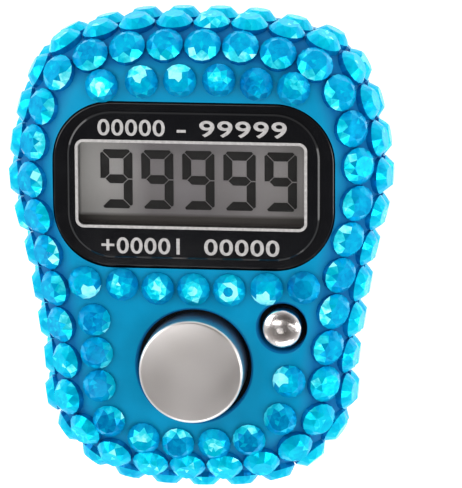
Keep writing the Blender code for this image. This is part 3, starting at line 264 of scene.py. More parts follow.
def turned(name: str, profile: list[Point], place: Vector, *finishes: "Finish", steps: int = 64,
           direction: Vector = UP, ring: bool = False) -> Piece:
    """Turn a profile about an axis through a place.

    Args:
        name: Name of the piece.
        profile: Radius and height pairs. A radius of zero closes the shape on the axis.
        place: Where the axis starts.
        *finishes: One finish for each material slot.
        steps: Segments round the turn.
        direction: Where the axis points.
        ring: Whether the profile is closed on itself, as for a tube.

    Returns:
        The new object.
    """
    bm = bmesh.new()
    rings = []
    for radius, height in profile:
        points = circle(place, direction, 1 if radius == 0.0 else steps, radius, height)
        rings.append([bm.verts.new(point) for point in points])
    pairs = list(zip(rings, rings[1:]))
    if ring:
        pairs.append((rings[-1], rings[0]))
    for upper, lower in pairs:
        for i in range(steps):
            corners = [upper[i % len(upper)], lower[i % len(lower)],
                       lower[(i + 1) % len(lower)], upper[(i + 1) % len(upper)]]
            face = list(dict.fromkeys(corners))
            if len(face) > 2:
                bm.faces.new(face)
    return from_bmesh(name, bm, *finishes)


def arc(centre: Point, radius: float, start: float, end: float, steps: int,
        rise: float | None = None) -> list[Point]:
    """Points on an arc in a plane, ends included.

    Args:
        centre: Middle of the arc.
        radius: Its radius.
        start: First angle.
        end: Last angle.
        steps: Number of parts.
        rise: Radius in the second direction, if it differs.

    Returns:
        The points in order.
    """
    angles = [start + (end - start) / steps * i for i in range(steps + 1)]
    rise = radius if rise is None else rise
    return [(centre[0] + radius * math.cos(angle), centre[1] + rise * math.sin(angle)) for angle in angles]


def rounded_box(centre: Point, width: float, height: float, corner: float, steps: int = 14) -> list[Point]:
    """Outline of a rectangle with round corners, anticlockwise.

    Args:
        centre: Middle of the rectangle.
        width: Its whole width.
        height: Its whole height.
        corner: Radius of its corners.
        steps: Parts in each corner.

    Returns:
        The points in order.
    """
    points: list[Point] = []
    for quarter, (sx, sy) in enumerate(((1, 1), (-1, 1), (-1, -1), (1, -1))):
        middle = (centre[0] + sx * (width / 2 - corner), centre[1] + sy * (height / 2 - corner))
        points += arc(middle, corner, quarter * math.pi / 2, (quarter + 1) * math.pi / 2, steps)
    return points


def raised(loop: list[Point], height: float) -> list[Point]:
    """Put a flat loop at a height."""
    return [(x, y, height) for x, y in loop]


def prism(name: str, outline: list[Point], low: float, high: float, *finishes: "Finish",
          frame_of: Matrix = Matrix.Identity(4)) -> Piece:
    """Raise an outline between two heights.

    Args:
        name: Name of the piece.
        outline: Closed outline in a plane.
        low: Height of its lower face.
        high: Height of its upper face.
        *finishes: One finish for each material slot.
        frame_of: Where the plane lies.

    Returns:
        The new object.
    """
    sections = [[frame_of @ Vector((x, y, z)) for x, y in outline] for z in (low, high)]
    return skin(name, sections, *finishes)


def combine(piece: Piece, how: Join, others: list[Piece]) -> Piece:
    """Cut shapes out of a piece, or join them on, and use them up.

    Args:
        piece: Shape that is kept.
        how: Whether the others are cut out or joined on.
        others: Shapes that are removed afterwards.

    Returns:
        The same piece with its new mesh.
    """
    for other in others:
        step = piece.modifiers.new(other.name, "BOOLEAN")
        step.operation = how.value
        step.solver = "EXACT"
        step.object = other
    mesh = shaped(piece)
    piece.modifiers.clear()
    piece.data = mesh
    for other in others:
        bpy.data.objects.remove(other, do_unlink=True)
    return piece


def smooth(piece: Piece, angle: float = math.radians(32.0)) -> Piece:
    """Shade rounds smoothly and keep arrises."""
    piece.data.shade_smooth()
    piece.data.set_sharp_from_angle(angle=angle)
    return piece


def settle(piece: Piece, body: Body, slot: str, *nodes: str) -> None:
    """Say which body a piece rides on and which nodes it stands for.

    Args:
        piece: Finished piece.
        body: Body that it rides on.
        slot: Material slot of the record; not used.
        *nodes: CAD nodes that it replaces.
    """
    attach(piece, body.value)
    for node in nodes:
        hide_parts(node)
    LOG.info("%s: %d faces, on %s", piece.name, len(piece.data.polygons), body.value)


def scatter(*numbers: int) -> float:
    """Even, repeatable value between zero and one for a set of whole numbers."""
    seed = 0
    for number in numbers:
        seed = (seed * 1103515245 + number * 12345 + 6789) & 0x7FFFFFFF
    seed ^= seed >> 13
    seed = (seed * 1103515245 + 12345) & 0x7FFFFFFF
    return (seed >> 7) % 10007 / 10007


# Finishes


@dataclass(frozen=True)
class Surface:
    """A material in the making: its tree, its main shader and the object's coordinates in metres."""

    tree: Tree
    shader: Node
    place: Socket

    def feed(self, name: str, value: Socket) -> None:
        """Let a value drive one of the shader's sockets."""
        self.tree.links.new(value, self.shader.inputs[name])

    def blotches(self, size: float, low: float = 0.0, high: float = 1.0,
                 edges: Span = (0.3, 0.7), detail: float = 3.0) -> Socket:
        """Soft blotches of a real size that go from a low to a high value.

        Args:
            size: Width of a blotch.
            low: Lowest value.
            high: Highest value.
            edges: Part of the noise that the values are spread over.
            detail: Number of finer layers.

        Returns:
            The value.
        """
        noise = add_node(self.tree, "TexNoise", {"Vector": self.place, "Scale": 1 / size,
                                                 "Detail": detail, "Roughness": NOISE_FALL})
        return add_node(self.tree, "MapRange", {"Value": noise.outputs["Fac"], "From Min": edges[0],
                                                "From Max": edges[1], "To Min": low,
                                                "To Max": high}).outputs["Result"]

    def paint(self, share: Socket, colour: str) -> None:
        """Lay a colour over what is there.

        Args:
            share: How much it covers, from zero to one.
            colour: Its hex code.
        """
        base = self.shader.inputs["Base Color"]
        under = base.links[0].from_socket if base.is_linked else tuple(base.default_value)
        mixed = add_node(self.tree, "Mix", {0: share, 6: under, 7: linear(colour)}, data_type="RGBA")
        self.feed("Base Color", mixed.outputs[2])

    def ripple(self, size: float, detail: float, distance: float, place: Socket | None = None) -> None:
        """Raise the surface in soft ripples.

        Args:
            size: Width of a ripple.
            detail: Number of finer layers.
            distance: Height of the ripples.
            place: Coordinates, if they are drawn out.
        """
        noise = add_node(self.tree, "TexNoise", {"Vector": place or self.place, "Scale": 1 / size,
                                                 "Detail": detail, "Roughness": NOISE_FALL})
        bump = add_node(self.tree, "Bump", {"Height": noise.outputs["Fac"], "Distance": distance})
        self.feed("Normal", bump.outputs["Normal"])


@dataclass(frozen=True)
class Finish:
    """A surface as it was made: two close tones, uneven gloss and a fine relief."""

    name: str = "Plain moulding"
    colour: str = "#808080"
    shade: str = "#707070"
    mottle: float = 2.0 * MM
    grain: float = 0.3 * MM
    relief: float = 0.01 * MM
    metallic: float = 0.0
    roughness: float = 0.4
    spread: float = 0.06
    ior: float = 1.5
    specular: float = 0.5
    coat: float = 0.0
    coat_roughness: float = 0.05

    def material(self) -> bpy.types.Material:
        """Make the material on first use and give the same one afterwards."""
        found = bpy.data.materials.get(self.name)
        if found:
            return found
        material = bpy.data.materials.new(self.name)
        material.use_nodes = True
        tree = material.node_tree
        shader = tree.nodes["Principled BSDF"]
        constants = {"Base Color": linear(self.shade), "Metallic": self.metallic, "Roughness": self.roughness,
                     "IOR": self.ior, "Specular IOR Level": self.specular, "Coat Weight": self.coat,
                     "Coat Roughness": self.coat_roughness}
        for name, value in constants.items():
            shader.inputs[name].default_value = value
        self.dress(Surface(tree, shader, add_node(tree, "TexCoord").outputs["Object"]))
        return material

    def gloss(self, surface: Surface, size: float, edges: Span = (0.3, 0.7), detail: float = 3.0) -> None:
        """Let the roughness drift about its middle value.

        Args:
            surface: The material in the making.
            size: Width of a duller or glossier patch.
            edges: Part of the noise that the drift is spread over.
            detail: Number of finer layers.
        """
        low, high = self.roughness - self.spread, self.roughness + self.spread
        surface.feed("Roughness", surface.blotches(size, low, high, edges, detail))

    def dress(self, surface: Surface) -> None:
        """Add the mottled colour, the uneven gloss and the relief.

        Args:
            surface: The material in the making.
        """
        surface.paint(surface.blotches(self.mottle, edges=(0.35, 0.65)), self.colour)
        self.gloss(surface, self.mottle / 2)
        surface.ripple(self.grain, 2.0, self.relief)


@dataclass(frozen=True)
class MouldedCase(Finish):
    """Injection moulded ABS, tinted cyan, with glue between the stones, darkened as painted shade.

    To the eye: a clean, even blue with a soft gloss, a barely pebbled skin, and a deeper, duller blue of glue
    and painted shade where the rim rolls away under the stones.
    """

    name: str = "Moulded cyan ABS"
    colour: str = "#0096c5"
    shade: str = "#008ebc"
    # Glue colour, dark enough to paint the shade between the stones
    glue_and_shade: str = "#006ba6"
    mottle: float = 3.5 * MM
    # Spark texture is about 0.05 mm across, drawn coarser so that it shows
    grain: float = 0.22 * MM
    relief: float = 0.008 * MM
    roughness: float = 0.34
    spread: float = 0.04
    ior: float = 1.53
    specular: float = 0.12
    # Where the glue and its painted shade start and where they cover: by how far the wall faces up, and by
    # its height
    rolled: Span = (0.985, 0.90)
    stoned: Span = (24.2 * MM, 24.7 * MM)
    dullness: float = 0.4

    def dress(self, surface: Surface) -> None:
        """Add the skin, then the darker glue with painted shade where the surface rolls away from the front.

        Args:
            surface: The material in the making.
        """
        super().dress(surface)
        tree = surface.tree
        facing = add_node(tree, "TexCoord").outputs["Normal"]
        shares = []
        for vector, (start, end) in ((facing, self.rolled), (surface.place, self.stoned)):
            part = add_node(tree, "SeparateXYZ", {0: vector}).outputs["Z"]
            share = add_node(tree, "MapRange", {"Value": part, "From Min": start, "From Max": end})
            shares.append(share.outputs["Result"])
        # Glue and painted shade where the rim rolls away under the stones
        glue_and_shade = add_node(tree, "Math", {0: shares[0], 1: shares[1]}, operation="MULTIPLY").outputs[0]
        surface.paint(glue_and_shade, self.glue_and_shade)
        even = surface.shader.inputs["Roughness"].links[0].from_socket
        dull = add_node(tree, "Math", {0: glue_and_shade, 1: self.dullness, 2: even}, operation="MULTIPLY_ADD")
        surface.feed("Roughness", dull.outputs[0])


@dataclass(frozen=True)
class FoiledRhinestone(Finish):
    """Cut resin rhinestone over a foil back, tinted bright cyan.

    To the eye: each facet is one clear flat painted tone, from deep blue shade to an almost white painted
    highlight for light thrown back by the foil, under a hard wet gloss.
    """

    name: str = "Foiled cyan rhinestone"
    metallic: float = 0.35
    specular: float = 0.25
    tint: str = "#4fe9ff"
    roughness: float = 0.18
    spread: float = 0.05
    mottle: float = 0.9 * MM
    # Casting ripples inside the resin, drawn at their real size
    grain: float = 0.45 * MM
    relief: float = 0.012 * MM
    ior: float = 1.55
    coat: float = 0.03
    coat_roughness: float = 0.04
    # Colours of the painted tones, from shade to highlight
    tones: Stops = ((0.0, "#004f8f"), (0.25, "#0076b8"), (0.5, "#00a8dd"), (0.72, "#00c8e9"),
                    (0.9, "#08dff3"), (1.0, "#9cfaff"))
    # Painted glow, as emission, of the brightest facets
    painted_glow: Stops = ((0.80, "#000000"), (1.0, "#4f9ca2"))
    drift: float = 0.09

    def dress(self, surface: Surface) -> None:
        """Colour each facet by its own painted tone of light and shade, with a little drift inside the resin,
        and let the brightest glow as painted light.

        Args:
            surface: The material in the making.
        """
        tree = surface.tree
        tone = add_node(tree, "Attribute", attribute_name="tone").outputs["Fac"]
        drift = surface.blotches(self.mottle, -self.drift, self.drift)
        total = add_node(tree, "Math", {0: tone, 1: drift}, operation="ADD", use_clamp=True).outputs[0]
        for socket, stops in (("Base Color", self.tones), ("Emission Color", self.painted_glow)):
            ramp = add_node(tree, "ValToRGB", {"Fac": total}, stops=stops)
            surface.feed(socket, ramp.outputs["Color"])
        surface.shader.inputs["Specular Tint"].default_value = linear(self.tint)
        surface.shader.inputs["Emission Strength"].default_value = 1.0
        self.gloss(surface, self.grain)
        surface.ripple(self.grain, 1.0, self.relief)


@dataclass(frozen=True)
class BlackPrintedAcrylic(Finish):
    """Cast acrylic printed black from behind: piano black, with faint wiping marks."""

    name: str = "Black-printed acrylic"
    colour: str = "#111215"
    shade: str = "#0c0d10"
    mottle: float = 6.0 * MM
    grain: float = 3.0 * MM
    relief: float = 0.002 * MM
    roughness: float = 0.09
    spread: float = 0.02
    ior: float = 1.49


@dataclass(frozen=True)
class ClearAcrylic(Finish):
    """Polished clear acrylic: seen only by what it reflects and a faint haze."""

    name: str = "Clear acrylic pane"
    # Share of light that comes straight back off acrylic, and how steeply it grows at a slant
    straight: float = 0.039
    steepness: float = 5.0
    haze: str = "#f3f5f5"
    mottle: float = 2.5 * MM
    roughness: float = 0.06
    spread: float = 0.03

    def dress(self, surface: Surface) -> None:
        """Make a thin pane that lets light through and reflects more at a slant.

        Args:
            surface: The material in the making.
        """
        tree = surface.tree
        tree.nodes.remove(surface.shader)
        wipe = surface.blotches(self.mottle, self.roughness - self.spread, self.roughness + self.spread)
        clear = add_node(tree, "BsdfTransparent", {"Color": linear(self.haze)})
        shine = add_node(tree, "BsdfGlossy", {"Color": linear("#ffffff"), "Roughness": wipe})
        slant = add_node(tree, "LayerWeight", {"Blend": 0.5}).outputs["Facing"]
        slant = add_node(tree, "Math", {0: slant, 1: self.steepness}, operation="POWER").outputs[0]
        slant = add_node(tree, "MapRange", {"Value": slant, "To Min": self.straight})
        pane = add_node(tree, "MixShader", {0: slant.outputs["Result"], 1: clear.outputs[0],
                                            2: shine.outputs[0]})
        tree.links.new(pane.outputs[0], tree.nodes["Material Output"].inputs["Surface"])


@dataclass(frozen=True)
class ScreenInk(Finish):
    """Screen-printed white ink: flat, slightly broken where the mesh left its dots."""

    name: str = "Screen-printed white ink"
    colour: str = "#c6c3c1"
    shade: str = "#aeabaa"
    mottle: float = 0.35 * MM
    grain: float = 0.12 * MM
    relief: float = 0.006 * MM
    roughness: float = 0.38


@dataclass(frozen=True)
class DisplayFilm(Finish):
    """Polarising film over a reflective display: warm grey, painted lighter at its ends, with the frame's
    shadow painted at its foot and left edge.
    """

    name: str = "Polarising film on display"
    colour: str = "#a1979a"
    shade: str = "#998f90"
    # Colour of the painted shadow along the foot and the left edge
    foot: str = "#5b524e"
    mottle: float = 5.0 * MM
    grain: float = 0.18 * MM
    relief: float = 0.002 * MM
    roughness: float = 0.36
    # Top of the painted shadow band and left end of the film, as places in the frame, and how soon each fades
    low: float = 3.35 * MM
    left: float = -10.45 * MM
    fade: float = 0.35 * MM
    left_share: float = 0.7
    # Painted lighter ends: where each starts, where it is full, and how much of its tone it has there
    right_end: Point = (1.0 * MM, 10.0 * MM, 0.7)
    left_end: Point = (-4.0 * MM, -10.0 * MM, 1.0)
    right_painted_light: str = "#c9bebb"
    left_painted_light: str = "#f2e8e4"

    def dress(self, surface: Surface) -> None:
        """Add the grey, its painted lighter ends, and the painted shadow along the foot and the left edge.

        Args:
            surface: The material in the making.
        """
        super().dress(surface)
        tree = surface.tree
        x, y, _ = add_node(tree, "SeparateXYZ", {0: surface.place}).outputs
        shares = []
        for part, (start, end, most) in ((x, self.right_end), (x, self.left_end),
                                         (y, (self.low + self.fade, self.low, 1.0)),
                                         (x, (self.left + self.fade, self.left, self.left_share))):
            share = add_node(tree, "MapRange", {"Value": part, "From Min": start, "From Max": end,
                                                "To Max": most})
            shares.append(share.outputs["Result"])
        surface.paint(shares[0], self.right_painted_light)
        surface.paint(shares[1], self.left_painted_light)
        dark = add_node(tree, "Math", {0: shares[2], 1: shares[3]}, operation="MAXIMUM")
        surface.paint(dark.outputs[0], self.foot)


@dataclass(frozen=True)
class SegmentTone(Finish):
    """Liquid crystal turned dark between the films: brown-black, a little thin in the middle."""

    name: str = "Switched liquid crystal"
    colour: str = "#150f0e"
    shade: str = "#1d1716"
    mottle: float = 0.8 * MM
    grain: float = 0.2 * MM
    relief: float = 0.001 * MM
    roughness: float = 0.36


@dataclass(frozen=True)
class SatinChrome(Finish):
    """Chrome plated over blasted ABS: warm grey metal with cloudy gloss and faint hairlines."""

    name: str = "Satin chrome plating"
    colour: str = "#efebe9"
    shade: str = "#c9c4c1"
    mottle: float = 4.2 * MM
    # Polishing hairlines are about 0.05 mm apart, drawn far coarser so that they show as a soft drift
    grain: float = 2.4 * MM
    drawn: Point = (1.0, 4.0, 1.0)
    slant: Point = (0.0, 0.0, 0.5)
    relief: float = 0.0008 * MM
    metallic: float = 1.0
    roughness: float = 0.33
    spread: float = 0.03

    def dress(self, surface: Surface) -> None:
        """Add the cloudy plating, then the hairlines.

        Args:
            surface: The material in the making.
        """
        edges = (0.2, 0.8)
        surface.paint(surface.blotches(self.mottle, edges=edges, detail=0.0), self.colour)
        self.gloss(surface, self.mottle / 2, edges, 1.0)
        drawn = add_node(surface.tree, "Mapping", {"Vector": surface.place, "Scale": self.drawn,
                                                   "Rotation": self.slant})
        surface.ripple(self.grain, 0.0, self.relief, drawn.outputs[0])


@dataclass(frozen=True)
class BrightChrome(Finish):
    """Bright nickel-chrome plating: a near mirror with soft ripples from the moulding under it."""

    name: str = "Bright chrome plating"
    colour: str = "#efeae8"
    shade: str = "#ddd6d3"
    mottle: float = 1.2 * MM
    grain: float = 0.9 * MM
    relief: float = 0.030 * MM
    metallic: float = 1.0
    roughness: float = 0.20
    spread: float = 0.05


@dataclass(frozen=True)
class StrapSilicone(Finish):
    """Moulded silicone strap, tinted to the case: dry, soft and slightly dusty."""

    name: str = "Moulded cyan silicone"
    colour: str = "#0c90ba"
    shade: str = "#0a84ad"
    mottle: float = 2.2 * MM
    grain: float = 0.20 * MM
    relief: float = 0.012 * MM
    roughness: float = 0.55
    ior: float = 1.41


@dataclass(frozen=True)
class DomeSilicone(Finish):
    """Milky silicone of the return domes: soft, waxy and a little cloudy."""

    name: str = "Milky keypad silicone"
    colour: str = "#ccd2d0"
    shade: str = "#bcc4c2"
    mottle: float = 1.1 * MM
    grain: float = 0.25 * MM
    roughness: float = 0.45
    ior: float = 1.41


@dataclass(frozen=True)
class CarbonRubber(Finish):
    """Carbon-filled rubber of the pills: dead black with a pressed grain."""

    name: str = "Pressed carbon rubber"
    colour: str = "#26262a"
    shade: str = "#1c1c1f"
    mottle: float = 0.7 * MM
    grain: float = 0.12 * MM
    roughness: float = 0.78


@dataclass(frozen=True)
class SlotShade(Finish):
    """Dull black on the hidden part of a button: painted shade that keeps its slot dark."""

    name: str = "Black painted slot shade"
    colour: str = "#101318"
    shade: str = "#0b0e12"
    mottle: float = 1.4 * MM
    grain: float = 0.25 * MM
    roughness: float = 0.6


@dataclass(frozen=True)
class ZebraRubber(Finish):
    """Layered connector rubber: thin black and pale stripes across its length."""

    name: str = "Layered zebra rubber"
    colour: str = "#c8c2bb"
    shade: str = "#17171a"
    roughness: float = 0.6
    # Real layers are 0.05 mm, drawn coarser so that they show
    pitch: float = 0.25 * MM

    def dress(self, surface: Surface) -> None:
        """Add stripes across the strip.

        Args:
            surface: The material in the making.
        """
        tree = surface.tree
        scale = 1 / (self.pitch * WAVE_TURN)
        wave = add_node(tree, "TexWave", {"Vector": surface.place, "Scale": scale},
                        bands_direction="X").outputs["Fac"]
        ramp = add_node(tree, "ValToRGB", {"Fac": wave}, stops=((0.4, self.shade), (0.6, self.colour)))
        surface.feed("Base Color", ramp.outputs["Color"])
        bump = add_node(tree, "Bump", {"Height": wave, "Distance": self.relief})
        surface.feed("Normal", bump.outputs["Normal"])


@dataclass(frozen=True)
class MouldedPolystyrene(Finish):
    """White moulded plastic of the hidden frame: even, with faint flow marks."""

    name: str = "Moulded white polystyrene"
    colour: str = "#e6e5e1"
    shade: str = "#d8d7d3"
    mottle: float = 2.8 * MM
    roughness: float = 0.42
    ior: float = 1.59


@dataclass(frozen=True)
class DisplayGlass(Finish):
    """Thin display glass with its filled cell: cool grey with a green cast."""

    name: str = "Display glass"
    colour: str = "#8d918c"
    shade: str = "#7f847f"
    mottle: float = 4.0 * MM
    grain: float = 1.2 * MM
    relief: float = 0.002 * MM
    roughness: float = 0.08
    spread: float = 0.03
    ior: float = 1.52


@dataclass(frozen=True)
class CircuitLaminate(Finish):
    """Glass-epoxy board under green resist: glossy green, lighter where copper runs lie under it."""

    name: str = "Glass-epoxy circuit board"
    colour: str = "#0d5a2c"
    shade: str = "#0a4a24"
    copper: str = "#2c8a48"
    pad: str = "#c9a54a"
    mottle: float = 3.0 * MM
    grain: float = 0.4 * MM
    relief: float = 0.02 * MM
    roughness: float = 0.22
    spread: float = 0.04
    track: float = 0.9 * MM
    field: float = 6.0 * MM
    pad_pitch: float = 3.2 * MM
    # Where each pattern starts and where it is full
    field_edge: Span = (0.49, 0.51)
    pad_edge: Span = (0.13, 0.10)
    track_edge: Span = (0.70, 0.76)

    def dress(self, surface: Surface) -> None:
        """Add copper runs in two directions and round pads.

        Args:
            surface: The material in the making.
        """
        super().dress(surface)
        tree, place = surface.tree, surface.place
        fields = add_node(tree, "TexVoronoi", {"Vector": place, "Scale": 1 / self.field},
                          distance="CHEBYCHEV").outputs["Color"]
        pads = add_node(tree, "TexVoronoi", {"Vector": place, "Scale": 1 / self.pad_pitch})
        values = [(add_node(tree, "SeparateColor", {0: fields}).outputs[0], self.field_edge),
                  (pads.outputs["Distance"], self.pad_edge)]
        scale = 1 / (self.track * WAVE_TURN)
        for direction in ("X", "Y"):
            wave = add_node(tree, "TexWave", {"Vector": place, "Scale": scale}, bands_direction=direction)
            values.append((wave.outputs["Fac"], self.track_edge))
        pick, dots, across, along = (
            add_node(tree, "MapRange", {"Value": value, "From Min": edge[0],
                                        "From Max": edge[1]}).outputs[0]
            for value, edge in values)
        run = add_node(tree, "Mix", {0: pick, 2: across, 3: along}, data_type="FLOAT").outputs[0]
        surface.paint(run, self.copper)
        surface.paint(dots, self.pad)
        bump = add_node(tree, "Bump", {"Height": run, "Distance": self.relief})
        surface.feed("Normal", bump.outputs["Normal"])


@dataclass(frozen=True)
class PottingEpoxy(Finish):
    """Black epoxy poured over the chip: glossy, slightly lumpy where it flowed."""

    name: str = "Poured black epoxy"
    colour: str = "#141416"
    shade: str = "#0d0d0f"
    mottle: float = 1.6 * MM
    grain: float = 0.9 * MM
    relief: float = 0.05 * MM
    roughness: float = 0.20


@dataclass(frozen=True)
class FiredCeramic(Finish):
    """Fired ceramic of the small parts: chalky tan with a fine grain."""

    name: str = "Fired tan ceramic"
    colour: str = "#b59a72"
    shade: str = "#a58a63"
    mottle: float = 0.5 * MM
    grain: float = 0.1 * MM
    roughness: float = 0.55


@dataclass(frozen=True)
class DrawnCellSteel(Finish):
    """Nickel-plated drawn steel of the cell: bright, with a fine drift of rub marks."""

    name: str = "Nickel-plated cell can"
    colour: str = "#cfcfcb"
    shade: str = "#b9b9b6"
    mottle: float = 1.8 * MM
    grain: float = 0.25 * MM
    relief: float = 0.004 * MM
    metallic: float = 1.0
    roughness: float = 0.22
    spread: float = 0.04


@dataclass(frozen=True)
class SpringBronze(Finish):
    """Rolled spring bronze of the contacts: warm metal, a little cloudy."""

    name: str = "Rolled spring bronze"
    colour: str = "#d2b98a"
    shade: str = "#b99f70"
    mottle: float = 1.0 * MM
    grain: float = 0.2 * MM
    relief: float = 0.004 * MM
    metallic: float = 1.0
    roughness: float = 0.36


@dataclass(frozen=True)
class ZincScrewSteel(Finish):
    """Zinc-plated screw steel: cool grey, with a fine dull mottle."""

    name: str = "Zinc-plated screw steel"
    colour: str = "#c4c6c8"
    shade: str = "#9c9ea1"
    mottle: float = 0.6 * MM
    grain: float = 0.15 * MM
    relief: float = 0.006 * MM
    metallic: float = 1.0
    roughness: float = 0.36


@dataclass(frozen=True)
class StudioPaper(Finish):
    """White paper under the object: matt, almost without tone."""

    name: str = "White studio paper"
    colour: str = "#fbfbfb"
    shade: str = "#f7f7f7"
    mottle: float = 40.0 * MM
    grain: float = 0.8 * MM
    roughness: float = 0.9
    glow: float = 0.45

    def dress(self, surface: Surface) -> None:
        """Add the paper's tone and the light that comes through it.

        Args:
            surface: The material in the making.
        """
        super().dress(surface)
        surface.shader.inputs["Emission Color"].default_value = linear("#ffffff")
        surface.shader.inputs["Emission Strength"].default_value = self.glow


# Case


@dataclass(frozen=True)
class CaseForm:
    """The case outline and the heights that its two halves share."""

    width: float = 31.9 * MM
    length: float = 40.7 * MM
    front: float = 32.8 * MM
    front_inside: float = 31.0 * MM
    parting: float = 24.567 * MM
    back: float = 20.0 * MM
    front_round: float = 4.5 * MM
    rear_round: float = 3.6 * MM
    wall: float = 1.3 * MM
    shares: tuple[Span, ...] = (
        (0.0, 1.0), (0.46, 0.972), (0.83, 0.835), (1.0, 0.38), (0.90, -0.05),
        (0.82, -0.45), (0.78, -0.72), (0.50, -0.945), (0.0, -1.0),
    )
    count: int = 168
    span_steps: int = 24
    # Places of the screws: shares of the way round from the top centre, and how far in
    screw_shares: tuple[float, ...] = (0.125, 0.385)
    screw_inset: float = 3.9 * MM

    def pairs(self) -> list[Pair]:
        """Closed clockwise outline as points and outward directions, from the top centre."""
        half = [(x * self.width / 2, y * self.length / 2) for x, y in self.shares]
        knots = [Vector(p) for p in half + [(-x, y) for x, y in reversed(half[1:-1])]]
        curve = []
        for i in range(len(knots)):
            a, b, c, d = (knots[(i + k) % len(knots)] for k in (-1, 0, 1, 2))
            for j in range(self.span_steps):
                t = j / self.span_steps
                point = b + (c - a) * (t / 2)
                point += (a - b * 2.5 + c * 2 - d / 2) * t ** 2
                point += ((b - c) * 1.5 + (d - a) / 2) * t ** 3
                curve.append(point)
        pairs = []
        for i, point in enumerate(curve):
            along = curve[(i + 1) % len(curve)] - curve[i - 1]
            pairs.append((point, Vector((-along.y, along.x)).normalized()))
        return pairs

    def spaced(self, pairs: list[Pair], count: int, phase: float) -> list[Pair]:
        """Even places along a closed loop.

        Args:
            pairs: The loop.
            count: Number of places.
            phase: Share of a step before the first one.

        Returns:
            Points and outward directions.
        """
        lengths = [0.0]
        for i, (point, _) in enumerate(pairs):
            lengths.append(lengths[-1] + (pairs[(i + 1) % len(pairs)][0] - point).length)
        places = []
        step = 0
        for k in range(count):
            target = lengths[-1] * (k + phase) / count
            while lengths[step + 1] < target:
                step += 1
            share = (target - lengths[step]) / (lengths[step + 1] - lengths[step])
            here, there = pairs[step], pairs[(step + 1) % len(pairs)]
            places.append((here[0].lerp(there[0], share), here[1].lerp(there[1], share).normalized()))
        return places

    def inset(self, pairs: list[Pair], distance: float) -> list[Pair]:
        """Move a loop inward."""
        return [(point - outward * distance, outward) for point, outward in pairs]

    def section(self, distance: float, height: float) -> list[Point]:
        """One closed section, inset from the outline, at a height."""
        places = self.inset(self.spaced(self.pairs(), self.count, 0.0), distance)
        return [(point.x, point.y, height) for point, _ in places]

    def rolled(self, distance: float, low: float, high: float, rounding: float,
               steps: int = 12) -> list[list[Point]]:
        """Sections of a straight wall that rolls in at its end.

        Args:
            distance: Inset of the straight wall.
            low: Height of its open end.
            high: Height of its closed end, above or below the open one.
            rounding: Radius of the roll.
            steps: Parts in the roll.

        Returns:
            The sections in order.
        """
        drop = rounding if high > low else -rounding
        stages = arc((distance + rounding, high - drop), rounding, math.pi, math.pi / 2, steps, drop)
        return [self.section(*stage) for stage in [(distance, low)] + stages]

    def surface(self, x: float, y: float) -> Pair:
        """Place and outward direction on the front above a point, also on the rolled rim."""
        here = Vector((x, y))
        nearest, outward = min(self.pairs(), key=lambda pair: (pair[0] - here).length)
        share = 1 - (nearest - here).dot(outward) / self.front_round
        turn = math.asin(max(0.0, share))
        drop = self.front_round * (1 - math.cos(turn))
        lean = math.sin(turn)
        return Vector((x, y, self.front - drop)), Vector((outward.x * lean, outward.y * lean, math.cos(turn)))

    def screw_places(self) -> list[Span]:
        """Places of the four case screws, seen from the front."""
        places = []
        for share in self.screw_shares:
            point, outward = self.spaced(self.pairs(), 1, share)[0]
            place = point - outward * self.screw_inset
            places += [(place.x, place.y), (-place.x, place.y)]
        return places


@dataclass(frozen=True)
class Layout:
    """Places on the front that several pieces share, each taken from its own node."""

    window: Span
    count: Span
    reset: Span
    cell: Span
    window_width: float = 24.6 * MM
    window_height: float = 14.6 * MM
    window_corner: float = 5.2 * MM
    opening_width: float = 20.9 * MM
    opening_height: float = 8.5 * MM
    count_hole: float = 5.05 * MM
    reset_hole: float = 2.15 * MM

    @staticmethod
    def middle(node: str) -> Span:
        """Middle of a node's box, seen from the front."""
        low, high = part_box(node)
        return (low.x + high.x) / 2, (low.y + high.y) / 2

    @classmethod
    def measured(cls) -> "Layout":
        """Read the places from the frame."""
        return cls(*(cls.middle(node) for node in ("display_lens", "count_cap", "reset_button", "coin_cell")))

    def window_loop(self, across: float, along: float) -> list[Point]:
        """Outline of the window, inset at its sides and at its top and foot."""
        return rounded_box(self.window, self.window_width - 2 * across, self.window_height - 2 * along,
                           self.window_corner - across, 18)


